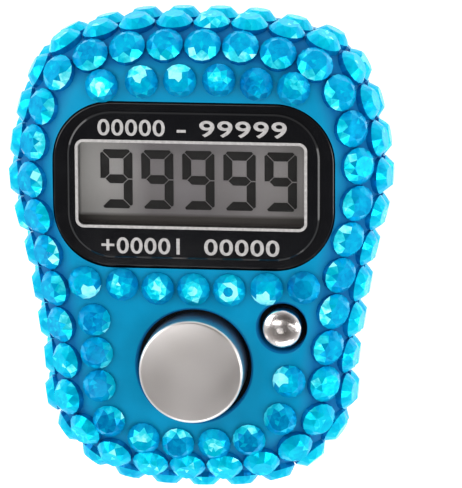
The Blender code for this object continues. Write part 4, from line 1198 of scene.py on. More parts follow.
@dataclass
class CaseFront:
    """Moulded case front: rolled rim, window seat, and button holes with softened arrises."""

    form: CaseForm
    layout: Layout
    arris: float = 0.28 * MM
    seat_gap: float = 0.10 * MM
    seat: float = 31.75 * MM
    overrun: float = 1.0 * MM
    inside_round: float = 2.4 * MM
    opening_corner: float = 0.8 * MM
    slack: float = 0.05 * MM
    finish: Finish = MouldedCase()
    # Black painted as shade on the walls and ledge behind the window
    seat_shade: Finish = BlackPrintedAcrylic()

    def hole(self, name: str, place: Span, radius: float) -> Piece:
        """Cutter for a round hole that flares at the face.

        Args:
            name: Name of the cutter.
            place: Its middle, seen from the front.
            radius: Radius of the hole.

        Returns:
            The cutter.
        """
        low, top = self.form.front_inside - self.overrun, self.form.front
        flare = arc((radius + self.arris, top - self.arris), self.arris, math.pi, math.pi / 2, 5)
        profile = [(0.0, low), (radius, low), *flare]
        profile += [(radius + self.arris, top + self.overrun), (0.0, top + self.overrun)]
        return turned(name, profile, Vector((*place, 0.0)), steps=96)

    def shell(self) -> Piece:
        """Outer skin less the inside, the window seat and the holes."""
        form, lay = self.form, self.layout
        body = skin("case_front", form.rolled(0.0, form.parting, form.front, form.front_round), self.finish)
        inside = form.rolled(form.wall, form.parting - self.overrun, form.front_inside, self.inside_round, 6)
        seat = lay.window_loop(-self.seat_gap, -self.seat_gap)
        opening = rounded_box(lay.window, lay.opening_width, lay.opening_height, self.opening_corner, 6)
        cutters = [
            skin("inside", inside),
            prism("seat", seat, self.seat, form.front + self.overrun),
            prism("opening", opening, form.front_inside - self.overrun, form.front),
            self.hole("count_hole", lay.count, lay.count_hole),
            self.hole("reset_hole", lay.reset, lay.reset_hole),
        ]
        return combine(body, Join.CUT, cutters)

    def shade_seat(self, body: Piece) -> None:
        """Paint the walls and ledge behind the window black, as painted shade in the recess.

        Args:
            body: The case front.
        """
        lay = self.layout
        painted(body, self.finish, self.seat_shade)
        for face in body.data.polygons:
            x, y, z = face.center
            near = abs(x) < lay.window_width / 2 + 2 * self.seat_gap
            near = near and abs(y - lay.window[1]) < lay.window_height / 2 + 2 * self.seat_gap
            wall = abs(face.normal.z) < 0.5 and z > self.form.front_inside - self.slack
            ledge = face.normal.z > 0.5 and self.form.front_inside < z < self.seat + self.slack
            face.material_index = 1 if near and (wall or ledge) else 0

    def build(self) -> None:
        """Make the case front and hang it on the root."""
        body = smooth(self.shell())
        self.shade_seat(body)
        settle(body, Body.ROOT, "case", "front_shell")


@dataclass
class CaseBack:
    """Moulded case back: rolled edge, finger saddle, strap lugs, door hole and screw sinks."""

    form: CaseForm
    layout: Layout
    gap: float = 0.30 * MM
    glue_gap: float = 0.10 * MM
    lip_height: float = 0.9 * MM
    lip_wall: float = 0.55 * MM
    floor: float = 22.2 * MM
    saddle_width: float = 16.0 * MM
    saddle_depth: float = 1.0 * MM
    well_radius: float = 7.8 * MM
    well_wall: float = 0.9 * MM
    well_height: float = 2.6 * MM
    door_radius: float = 6.6 * MM
    tab_radius: float = 7.5 * MM
    # Each notch is a little wider than its tab, and stands one locked turn away from it
    notches: int = 3
    notch_angle: float = math.radians(36.0)
    locked_turn: float = math.radians(45.0)
    notch_gap: float = 0.125 * MM
    notch_past: Span = (0.2 * MM, 0.06 * MM)
    pin_x: float = 9.95 * MM
    pin_z: float = 18.1 * MM
    pin_radius: float = 0.5 * MM
    lug_radius: float = 1.85 * MM
    lug_middle: float = 6.0 * MM
    lug_thickness: float = 1.5 * MM
    lug_root: float = 1.4 * MM
    lug_soft: float = 0.22 * MM
    screw_head: float = 1.3 * MM
    screw_seat: float = 21.05 * MM
    screw_bore: float = 0.9 * MM
    screw_wall: float = 0.75 * MM
    overrun: float = 1.0 * MM
    rooted: float = 0.6 * MM
    pin_bore_reach: float = 8.0 * MM
    finish: Finish = MouldedCase()

    def upright(self, x: float, y: float, z: float) -> Matrix:
        """Stand a flat outline up, so that its height runs along Y."""
        return Matrix.Translation((x, y, z)) @ Matrix.Rotation(math.pi / 2, 4, "X")

    def post(self, name: str, radius: float, place: Span, low: float, high: float,
             steps: int = 40) -> Piece:
        """Plain upright bar between two heights."""
        return turned(name, [(0.0, high), (radius, high), (radius, low), (0.0, low)], Vector((*place, 0.0)),
                      steps=steps)

    def lug(self, side: int, end: int) -> Piece:
        """Round-ended ear that holds one end of a strap pin, with softened edges.

        Args:
            side: Left or right, as -1 or 1.
            end: Lower or upper, as -1 or 1.

        Returns:
            The shape.
        """
        top = self.form.back + self.lug_root - self.pin_z
        soft = self.lug_soft
        stages = []
        for lift, back in ((-0.5, soft), (-0.5 + soft / self.lug_thickness, 0.0),
                           (0.5 - soft / self.lug_thickness, 0.0), (0.5, soft)):
            radius = self.lug_radius - back
            loop = [(radius, top)] + arc((0.0, 0.0), radius, 0.0, -math.pi, 24) + [(-radius, top)]
            matrix = self.upright(side * self.pin_x, end * self.lug_middle, self.pin_z)
            stages.append([matrix @ Vector((x, y, lift * self.lug_thickness)) for x, y in loop])
        return skin(f"lug_{side}_{end}", stages)

    def saddle(self) -> Piece:
        """Cutter for the hollow where the finger lies."""
        radius = (self.saddle_width ** 2 / 4 + self.saddle_depth ** 2) / (2 * self.saddle_depth)
        half = math.asin((self.saddle_width / 2 + self.overrun) / radius)
        curve = arc((0.0, self.saddle_depth - radius), radius, math.pi / 2 - half, math.pi / 2 + half, 40)
        loop = curve + [(curve[-1][0], -self.overrun), (curve[0][0], -self.overrun)]
        reach = self.form.length / 2 + self.overrun
        return prism("saddle", loop, -reach, reach, frame_of=self.upright(0.0, 0.0, self.form.back))

    def door_hole(self) -> list[Piece]:
        """Cutters for the door's hole and for the notches that its tabs drop through."""
        low = self.form.back - self.overrun
        high = self.floor + self.notch_gap
        cutters = [self.post("door_hole", self.door_radius + self.gap, self.layout.cell, low, high, 96)]
        under, over = self.notch_past
        for number in range(self.notches):
            middle = 2 * math.pi * number / self.notches + math.pi / 2 + self.locked_turn
            ends = middle - self.notch_angle / 2, middle + self.notch_angle / 2
            loop = arc(self.layout.cell, self.tab_radius + self.notch_gap, *ends, 14)
            loop += arc(self.layout.cell, self.door_radius / 2, *reversed(ends), 14)
            cutters.append(prism(f"notch_{number}", loop, low - under, high + over))
        return cutters

    def shell(self) -> Piece:
        """Rolled outer skin, less its inside, with the lip, the cell's well and the screw posts."""
        form = self.form
        high = form.parting - self.gap
        body = skin("case_back", form.rolled(0.0, high, form.back, form.rear_round), self.finish)
        inside = form.rolled(form.wall, high + self.overrun, self.floor, form.rear_round - form.wall, 8)
        combine(body, Join.CUT, [skin("inside", inside)])
        outer = form.wall - self.lip_wall + self.glue_gap
        inner = outer + self.lip_wall
        foot = high - self.lip_height
        top = form.parting + self.lip_height
        lip = [form.section(*stage) for stage in ((outer, foot), (outer, top), (inner, top), (inner, foot))]
        root = self.floor - self.rooted
        rim, outside = self.floor + self.well_height, self.well_radius + self.well_wall
        well = [(self.well_radius, rim), (outside, rim), (outside, root), (self.well_radius, root)]
        added = [skin("lip", lip, capped=False),
                 turned("well", well, Vector((*self.layout.cell, 0.0)), steps=72, ring=True)]
        for number, place in enumerate(form.screw_places()):
            added.append(self.post(f"post_{number}", self.screw_head + self.screw_wall, place, root, high))
        return combine(body, Join.ADD, added)

    def build(self) -> None:
        """Make the case back and hang it on the root."""
        form = self.form
        body = self.shell()
        combine(body, Join.CUT, [self.saddle()])
        combine(body, Join.ADD, [self.lug(side, end) for side in (1, -1) for end in (1, -1)])
        cutters = self.door_hole()
        reach, bore = self.pin_bore_reach, self.pin_radius + self.glue_gap
        for side in (1, -1):
            profile = [(0.0, 2 * reach), (bore, 2 * reach), (bore, 0.0), (0.0, 0.0)]
            cutters.append(turned(f"bore_{side}", profile, Vector((side * self.pin_x, -reach, self.pin_z)),
                                  steps=32, direction=Vector((0.0, 1.0, 0.0))))
        low, high = form.back - self.overrun, form.parting - self.gap + self.overrun
        for number, place in enumerate(form.screw_places()):
            cutters.append(self.post(f"sink_{number}", self.screw_head + self.glue_gap, place, low,
                                     self.screw_seat))
            cutters.append(self.post(f"screw_bore_{number}", self.screw_bore, place, low, high))
        combine(body, Join.CUT, cutters)
        settle(smooth(painted(body, self.finish)), Body.ROOT, "case", "rear_shell")


# Rhinestones


class Sparkle(Enum):
    """Painted highlights and shade of a stone, as the tones of its table core, table edge, stars, kites and
    girdle.
    """

    CORE = (1.00, 0.86, 0.62, 0.50, 0.22)
    RING = (0.38, 0.94, 0.74, 0.52, 0.22)
    WEDGE = (0.60, 0.56, 0.50, 0.46, 0.22)
    HALF = (0.58, 0.56, 0.50, 0.44, 0.22)
    DULL = (0.46, 0.44, 0.44, 0.44, 0.20)
    CRESCENT = (0.34, 0.34, 0.42, 0.50, 0.20)
    INNER = (0.50, 0.48, 0.50, 0.54, 0.18)
    OUTER = (0.74, 0.72, 0.70, 0.64, 0.24)

    def lift(self, ring: int, facing: float) -> float:
        """Painted highlight added to a facet by how far it faces the stone's bright side.

        Args:
            ring: Which ring of facets.
            facing: Cosine between the facet and the bright side.

        Returns:
            What is added to the ring's tone.
        """
        if self not in BRIGHT_PATCHES:
            return 0.06 * facing
        extra, least, rings = BRIGHT_PATCHES[self]
        return extra if facing > least and ring in rings else 0.0


# Stones with a painted highlight patch: its extra tone, how squarely a facet has to face its side, and its
# rings
BRIGHT_PATCHES = {
    Sparkle.WEDGE: (0.46, 0.72, (0, 1, 2, 3)),
    Sparkle.HALF: (0.30, 0.1, (0, 1, 2)),
    Sparkle.CRESCENT: (0.32, 0.45, (3,)),
    Sparkle.INNER: (0.32, 0.45, (3,)),
}


@dataclass
class Rhinestone:
    """One round cut stone: table, star, kite and girdle facets, each with a painted tone of light and shade
    of its own.
    """

    place: Vector
    direction: Vector
    number: int
    sparkle: Sparkle
    bright_side: Vector
    radius: float = 1.62 * MM
    table: float = 0.95 * MM
    middle: float = 1.31 * MM
    height: float = 0.97 * MM
    shoulder: float = 0.60 * MM
    girdle: float = 0.22 * MM
    foot: float = 0.10 * MM
    sides: int = 8
    unevenness: float = 0.13
    # Painted glints: extra tone on a few facets, and the chance that a facet gets one
    glint: float = 0.20
    glint_chance: float = 0.06
    # How far whole stones differ, and the tone of the foil under them
    stone_unevenness: float = 0.10
    foil_tone: float = 0.1

    def tone(self, ring: int, index: int, middle: Vector) -> float:
        """Painted tone of one facet, from deep blue shade at zero to an almost white highlight at one.

        Args:
            ring: Which ring of facets: table core, table edge, star, kite, then girdle.
            index: Facet in that ring.
            middle: Middle of the facet.

        Returns:
            The tone.
        """
        chance = scatter(self.number, ring, index)
        away = middle - self.place
        away -= self.direction * away.dot(self.direction)
        facing = away.normalized().dot(self.bright_side) if away.length > 0.05 * MM else 0.0
        tone = self.sparkle.value[ring] + self.sparkle.lift(ring, facing)
        tone += self.unevenness * (chance - 0.5) + self.stone_unevenness * (scatter(self.number, 5, 1) - 0.5)
        if ring < 4 and scatter(self.number, ring, index, 3) < self.glint_chance:
            tone += self.glint
        return min(1.0, max(0.0, tone))

    def add_to(self, bm: Shape, layer: bmesh.types.BMLayerItem) -> None:
        """Add the stone's facets to a mesh.

        Args:
            bm: Mesh that gets them.
            layer: Face layer that holds the tones.
        """
        n = self.sides
        spin = 2 * math.pi * scatter(self.number, 77)
        centre = bm.verts.new(self.place + self.direction * self.height)
        rings = ((n, self.table * 0.5, self.height, 0.5), (n, self.table, self.height, 0.0),
                 (n, self.middle, self.shoulder, 0.5), (2 * n, self.radius, self.girdle, 0.0),
                 (2 * n, self.radius, self.foot, 0.0))
        inner, table, middle, edge, foot = (
            [bm.verts.new(point) for point in circle(self.place, self.direction, *ring, spin, shift)]
            for *ring, shift in rings)
        facets = []
        for i in range(n):
            j = (i + 1) % n
            facets.append((0, i, (centre, inner[i], inner[j])))
            facets.append((1, i, (inner[i - 1], table[i], inner[i])))
            facets.append((1, n + i, (inner[i], table[i], table[j])))
            facets.append((2, i, (table[i], middle[i], table[j])))
            facets.append((3, i, (table[i], middle[i - 1], edge[2 * i], middle[i])))
            facets.append((3, n + i, (middle[i], edge[2 * i], edge[2 * i + 1])))
            facets.append((3, 2 * n + i, (middle[i], edge[2 * i + 1], edge[(2 * i + 2) % (2 * n)])))
        for i in range(2 * n):
            facets.append((4, i, (edge[i - 1], foot[i - 1], foot[i], edge[i])))
        for ring, index, corners in facets:
            face = bm.faces.new(corners)
            face[layer] = self.tone(ring, index, face.calc_center_median())
        bm.faces.new(foot)[layer] = self.foil_tone


@dataclass
class StoneSetting:
    """All the stones: three closed rows round the rim and single ones on the flat face."""

    form: CaseForm
    pitch: float = 3.25 * MM
    row_pitch: float = 3.05 * MM
    first_inset: float = 1.6 * MM
    phases: tuple[float, ...] = (0.23, 0.38, 0.5)
    # Rim stones reach down into the crust, and single ones are tucked in where the face rolls away
    rim_foot: float = -0.30 * MM
    tuck: float = 0.6 * MM
    single_radius: float = 1.47 * MM
    single_table: float = 0.90 * MM
    single_middle: float = 1.22 * MM
    # Number of the first single stone less one, clear of the rim's
    single_numbers: int = 200
    # Below this height the inner row is painted as bright as the outer ones
    bright_below: float = -9.0 * MM
    # Offsets of hand-set stones from their even places, right and up in mm
    offsets: tuple[tuple[int, float, float], ...] = (
        (1, -0.15, 0.40), (2, 0.0, 0.30), (6, 0.15, 0.18), (7, 0.25, 0.38), (8, -0.30, -0.28),
        (9, 0.0, 0.12), (10, 0.15, 0.28), (11, 0.36, 0.40), (12, 0.42, 0.10), (13, 0.45, -0.24),
        (14, 0.30, 0.0), (18, 0.0, -0.25), (19, 0.30, -0.32), (20, 0.15, -0.42), (21, 0.15, -0.36),
        (22, 0.05, -0.20), (23, 0.0, 0.40),
    )
    # Single stones: the pattern of their painted highlights, and the way their bright side faces, in degrees
    singles: tuple[tuple[Sparkle, float], ...] = (
        (Sparkle.WEDGE, -60.0), (Sparkle.HALF, 200.0), (Sparkle.CORE, 90.0), (Sparkle.CORE, 0.0),
        (Sparkle.RING, 0.0), (Sparkle.WEDGE, -110.0), (Sparkle.DULL, 0.0), (Sparkle.CORE, 180.0),
        (Sparkle.WEDGE, 100.0), (Sparkle.WEDGE, 95.0), (Sparkle.HALF, 90.0), (Sparkle.DULL, 0.0),
        (Sparkle.HALF, 60.0), (Sparkle.CRESCENT, -20.0), (Sparkle.CRESCENT, -10.0), (Sparkle.CRESCENT, 10.0),
        (Sparkle.WEDGE, 150.0), (Sparkle.CRESCENT, 60.0), (Sparkle.HALF, 90.0), (Sparkle.CRESCENT, 90.0),
        (Sparkle.CORE, 90.0), (Sparkle.CRESCENT, 130.0), (Sparkle.CRESCENT, 150.0),
    )
    finish: Finish = FoiledRhinestone()

    def rim_frame(self, along: float) -> Point:
        """Inset, drop and slope at a distance along the rolled rim from the flat face."""
        radius = self.form.front_round
        quarter = radius * math.pi / 2
        if along >= quarter:
            return 0.0, radius + along - quarter, math.pi / 2
        turn = max(along, 0.0) / radius
        return radius * (1 - math.sin(turn)), radius * (1 - math.cos(turn)), turn

    def rim_row(self, row: int) -> list[Pair]:
        """Places and directions of one closed row round the rim."""
        radius = self.form.front_round
        first = radius * math.asin(1 - self.first_inset / radius)
        inset, drop, slope = self.rim_frame(first + row * self.row_pitch)
        loop = self.form.inset(self.form.pairs(), inset)
        length = sum((loop[i][0] - loop[i - 1][0]).length for i in range(len(loop)))
        places = []
        for point, outward in self.form.spaced(loop, int(length / self.pitch), self.phases[row]):
            lean = math.sin(slope)
            places.append((Vector((point.x, point.y, self.form.front - drop)),
                           Vector((outward.x * lean, outward.y * lean, math.cos(slope)))))
        return places

    def face_place(self, number: int) -> Pair:
        """Seat of a single stone, under the middle of its CAD node."""
        low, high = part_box(f"face_stone_{number:02d}")
        middle = (low + high) / 2
        for stone, right, up in self.offsets:
            if stone == number:
                middle += Vector((right * MM, up * MM, 0.0))
        _, direction = self.form.surface(middle.x, middle.y)
        lean = direction.xy * self.tuck
        return self.form.surface(middle.x - lean.x, middle.y - lean.y)

    def crust(self, name: str, stones: list[Rhinestone], node: str) -> None:
        """Make stones as one piece and hang it on the root.

        Args:
            name: Name of the piece.
            stones: Its stones.
            node: CAD node that it dresses.
        """
        bm = bmesh.new()
        layer = bm.faces.layers.float.new("tone")
        for stone in stones:
            stone.add_to(bm, layer)
        settle(from_bmesh(name, bm, self.finish), Body.ROOT, "rhinestone", node)

    def build(self) -> None:
        """Make the three rows and the single stones."""
        rows = (("inner", Sparkle.INNER), ("middle", Sparkle.OUTER), ("outer", Sparkle.OUTER))
        number = 0
        for row, (word, sparkle) in enumerate(rows):
            stones = []
            for place, direction in self.rim_row(row):
                number += 1
                inward = Vector((-direction.x, -direction.y, 0.0)).normalized()
                shown = Sparkle.OUTER if place.y < self.bright_below else sparkle
                stones.append(Rhinestone(place, direction, number, shown, inward, foot=self.rim_foot))
            self.crust(f"rim_stones_{word}", stones, "front_shell")
        for index, (sparkle, degrees) in enumerate(self.singles, 1):
            place, direction = self.face_place(index)
            side = Vector((math.cos(math.radians(degrees)), math.sin(math.radians(degrees)), 0.0))
            stone = Rhinestone(place, direction, self.single_numbers + index, sparkle, side,
                               radius=self.single_radius, table=self.single_table, middle=self.single_middle)
            self.crust(f"single_stone_{index:02d}", [stone], f"face_stone_{index:02d}")


# Window and display


@dataclass
class Window:
    """Acrylic window: black-printed border with a low raised field, a clear pane and its white print."""

    layout: Layout
    low: float = 32.0 * MM
    top: float = 32.9 * MM
    edge_drop: float = 0.20 * MM
    bevel: Span = (0.15 * MM, 0.085 * MM)
    edge_round: float = 0.12 * MM
    ledge: Span = (1.22 * MM, 0.78 * MM)
    step_width: float = 0.03 * MM
    field: Span = (-0.20 * MM, 0.08 * MM)
    clear_width: float = 19.85 * MM
    clear_height: float = 7.35 * MM
    clear_corner: float = 0.50 * MM
    line: float = 0.25 * MM
    ink: float = 0.012 * MM
    # The pane stands this far inside the border, with its foot and its face this far under the border's top
    pane_gap: float = 0.004 * MM
    pane_under: Span = (0.35 * MM, 0.002 * MM)
    text_height: float = 1.45 * MM
    text_weight: float = 0.03 * MM
    text_spacing: float = 1.08
    # Printed groups: name, what it says, left end and foot from the window's middle, width
    groups: tuple[tuple[str, str, float, float, float], ...] = (
        ("window_count_from", "00000", -8.35 * MM, 4.37 * MM, 5.9 * MM),
        ("window_count_to", "- 99999", -1.4 * MM, 4.37 * MM, 9.6 * MM),
        ("window_step", "+00001", -8.1 * MM, -6.1 * MM, 6.9 * MM),
        ("window_zero", "00000", 0.95 * MM, -6.1 * MM, 6.6 * MM),
    )
    border: Finish = BlackPrintedAcrylic()
    pane: Finish = ClearAcrylic()
    print_ink: Finish = ScreenInk()

    def ring(self, inset: float, height: float) -> list[Point]:
        """Outer outline of the window, inset, at a height."""
        return raised(self.layout.window_loop(inset, inset), height)

    def field_edge(self, inset: float, height: float) -> list[Point]:
        """Outline of the raised field inside its ledge, inset further, at a height."""
        return raised(self.layout.window_loop(*(reach + inset for reach in self.ledge)), height)

    def clear_loop(self, grow: float, height: float) -> list[Point]:
        """Outline of the clear field, grown outward, at a height."""
        middle = (self.layout.window[0] + self.field[0], self.layout.window[1] + self.field[1])
        return raised(rounded_box(middle, self.clear_width + 2 * grow, self.clear_height + 2 * grow,
                                  self.clear_corner + grow, 18), height)

    def bezel(self) -> None:
        """Black border, from its foot over the soft edge and slope to the clear field."""
        edge, soft = self.top - self.edge_drop, self.edge_round
        across, rise = self.bevel
        sections = [self.clear_loop(0.0, self.low), self.ring(0.0, self.low)]
        sections += [self.ring(*stage) for stage in arc((soft, edge - soft), soft, math.pi, math.pi / 2, 4)]
        sections += [self.ring(soft + self.step_width, edge), self.field_edge(0.0, edge),
                     self.field_edge(self.step_width, self.top - rise),
                     self.field_edge(self.step_width + across, self.top), self.clear_loop(0.0, self.top)]
        piece = smooth(skin("window_border", sections, self.border, capped=False), math.radians(26.0))
        settle(piece, Body.ROOT, "window", "display_lens")

    def glass(self) -> None:
        """Clear pane inside the border."""
        sections = [self.clear_loop(-self.pane_gap, self.top - under) for under in self.pane_under]
        settle(skin("window_pane", sections, self.pane), Body.ROOT, "window", "display_lens")

    def outline(self) -> None:
        """White printed line round the clear field."""
        low, top = self.top - self.ink, self.top + self.ink
        sections = [self.clear_loop(*stage) for stage in ((0.0, low), (0.0, top), (self.line, top),
                                                          (self.line, low))]
        piece = skin("window_outline", sections, self.print_ink, capped=False)
        settle(piece, Body.ROOT, "window", "display_lens")

    def words(self, name: str, text: str, x: float, y: float, width: float) -> None:
        """One printed group of plain numbers.

        Args:
            name: Name of the piece.
            text: What it says.
            x: Left end, from the window's middle.
            y: Foot, from the window's middle.
            width: Width that it fills.
        """
        curve = bpy.data.curves.new(name, "FONT")
        curve.body = text
        # Figures stand about 0.7 of the type size
        curve.size = self.text_height / 0.7
        curve.offset = self.text_weight
        curve.extrude = self.ink
        curve.space_character = self.text_spacing
        carrier = placed(f"{name}_curve", curve)
        mesh = shaped(carrier)
        bpy.data.objects.remove(carrier, do_unlink=True)
        xs, ys, _ = zip(*(vertex.co for vertex in mesh.vertices))
        stretch = (width / (max(xs) - min(xs)), self.text_height / (max(ys) - min(ys)), 1.0, 1.0)
        middle = self.layout.window
        mesh.transform(Matrix.Translation((middle[0] + x, middle[1] + y, self.top))
                       @ Matrix.Diagonal(stretch) @ Matrix.Translation((-min(xs), -min(ys), 0.0)))
        settle(make_piece(name, mesh, self.print_ink), Body.ROOT, "window", "display_lens")

    def build(self) -> None:
        """Make the border, the pane and the print."""
        self.bezel()
        self.glass()
        self.outline()
        for group in self.groups:
            self.words(*group)


class Segment(Enum):
    """The seven strokes of a display digit."""

    TOP = "a"
    UPPER_RIGHT = "b"
    LOWER_RIGHT = "c"
    FOOT = "d"
    LOWER_LEFT = "e"
    UPPER_LEFT = "f"
    BAR = "g"


@dataclass
class Digits:
    """Five seven-stroke digits, dark between the display's films, each showing a nine."""

    layout: Layout
    height: float = 30.77 * MM
    depth: float = 0.012 * MM
    width: float = 2.84 * MM
    rise: float = 5.25 * MM
    stroke: float = 0.79 * MM
    chamfer: float = 0.34 * MM
    pitch: float = 3.62 * MM
    gap: float = 0.05 * MM
    shift: Span = (0.20 * MM, 0.12 * MM)
    count: int = 5
    shown: tuple[Segment, ...] = (Segment.TOP, Segment.UPPER_RIGHT, Segment.LOWER_RIGHT, Segment.FOOT,
                                  Segment.UPPER_LEFT, Segment.BAR)
    finish: Finish = SegmentTone()

    def strokes(self) -> dict[Segment, list[Point]]:
        """Outline of each stroke of one digit, from the digit's middle."""
        w, h, s, g, c = self.width / 2, self.rise / 2, self.stroke, self.gap, self.chamfer
        half = s / 2
        level = [(c - w, h), (w - c, h), (w - c / 2 - g, h - c / 2), (w - s - g, h - s),
                 (-w + s + g, h - s), (-w + c / 2 + g, h - c / 2)]
        right = [(w, h - c), (w, g), (w - half, g), (w - s, half + g), (w - s, h - s - g),
                 (w - c / 2, h - c / 2 - g)]
        bar = [(-w + half + g, 0.0), (-w + s + g, half), (w - s - g, half), (w - half - g, 0.0),
               (w - s - g, -half), (-w + s + g, -half)]
        return {
            Segment.TOP: level,
            Segment.FOOT: [(x, -y) for x, y in reversed(level)],
            Segment.UPPER_RIGHT: right,
            Segment.LOWER_RIGHT: [(x, -y) for x, y in reversed(right)],
            Segment.UPPER_LEFT: [(-x, y) for x, y in reversed(right)],
            Segment.LOWER_LEFT: [(-x, -y) for x, y in right],
            Segment.BAR: bar,
        }

    def build(self) -> None:
        """Make all the digits as one printed-thin piece."""
        strokes = self.strokes()
        bm = bmesh.new()
        for index in range(self.count):
            x = self.layout.window[0] + self.shift[0] + (index - (self.count - 1) / 2) * self.pitch
            y = self.layout.window[1] + self.shift[1]
            for segment in self.shown:
                low, high = ([bm.verts.new((x + px, y + py, z)) for px, py in strokes[segment]]
                             for z in (self.height - self.depth, self.height + self.depth))
                for i in range(len(low)):
                    bm.faces.new((low[i - 1], low[i], high[i], high[i - 1]))
                bm.faces.new(low)
                bm.faces.new(high)
        settle(from_bmesh("display_digits", bm, self.finish), Body.ROOT, "lcd_glass")


# Buttons


@dataclass
class CountCap:
    """Chromed cap of the count button: slightly crowned, with a soft edge and a fine rim."""

    layout: Layout
    radius: float = 4.6 * MM
    top: float = 35.4 * MM
    low: float = 30.85 * MM
    wall: float = 0.45 * MM
    crown: float = 0.20 * MM
    edge: float = 0.30 * MM
    finish: Finish = SatinChrome()

    def build(self) -> None:
        """Make the cap and hang it on the count button."""
        flat, shoulder = self.radius - self.edge, self.top - self.crown
        bore, inside = self.radius - self.wall, shoulder - self.wall
        profile = [(flat * i / 8, self.top - self.crown * (i / 8) ** 2) for i in range(9)]
        profile += arc((flat, shoulder - self.edge), self.edge, math.pi / 2, 0.0, 6)[1:]
        profile += [(self.radius, self.low), (bore, self.low), (bore, inside), (0.0, inside)]
        piece = turned("count_button_cap", profile, Vector((*self.layout.count, 0.0)), self.finish, steps=96)
        settle(smooth(piece), Body.COUNT_BUTTON, "satin_chrome", "count_cap")


@dataclass
class ResetKey:
    """Small bright domed button with its flange and stem."""

    layout: Layout
    radius: float = 1.7 * MM
    top: float = 33.6 * MM
    crown: float = 0.5 * MM
    flange: float = 2.2 * MM
    flange_high: float = 30.75 * MM
    flange_low: float = 30.05 * MM
    stem: float = 0.8 * MM
    stem_low: float = 29.8 * MM
    # Below this height the button is painted black, as shade in its slot
    painted_shade_top: float = 31.4 * MM
    finish: Finish = BrightChrome()
    # Black painted as shade on the flange and stem
    core: Finish = SlotShade()

    def build(self) -> None:
        """Make the button, painted black as shade on its flange and stem in the slot, and hang it on its
        body.
        """
        shoulder = self.top - self.crown
        profile = [(0.0, self.top)]
        profile += arc((0.0, shoulder), self.radius, math.pi / 2, 0.0, 12, self.crown)[1:]
        profile += [(self.radius, self.painted_shade_top), (self.radius, self.flange_high),
                    (self.flange, self.flange_high), (self.flange, self.flange_low),
                    (self.stem, self.flange_low), (self.stem, self.stem_low), (0.0, self.stem_low)]
        piece = turned("reset_button_key", profile, Vector((*self.layout.reset, 0.0)), self.finish, self.core,
                       steps=64)
        for face in piece.data.polygons:
            face.material_index = 1 if face.center.z < self.painted_shade_top else 0
        settle(smooth(piece), Body.RESET_BUTTON, "bright_chrome", "reset_button")


@dataclass
class ReturnDome:
    """Hollow silicone dome under a button, open below, that gives way as the button goes in."""

    name: str
    node: str
    joint: str
    place: Span
    base: float
    top: float
    keep: float
    low: float = 27.35 * MM
    height: float = 2.2 * MM
    wall: float = 0.45 * MM
    shoulder: float = 0.12 * MM
    finish: Finish = DomeSilicone()

    def build(self) -> None:
        """Make the dome and hang it on the root."""
        crown, foot, shoulder = self.height, self.wall, self.shoulder
        profile = [(0.0, crown), (self.top - shoulder, crown), (self.top, crown - shoulder)]
        for i in range(1, 9):
            share = i / 8
            swell = shoulder * math.sin(math.pi * share)
            profile.append((self.top + (self.base - foot - self.top) * share - swell * 0.5,
                            crown - shoulder + (foot - crown + shoulder) * share - swell))
        profile += [(self.base, foot), (self.base, 0.0), (self.base - 2 * foot, 0.0),
                    (self.top - foot, crown - foot), (0.0, crown - foot)]
        piece = turned(self.name, profile, Vector((*self.place, self.low)), self.finish, steps=48)
        settle(smooth(piece), Body.ROOT, "silicone", self.node)
        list(self.place)
        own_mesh(piece)


# Strap


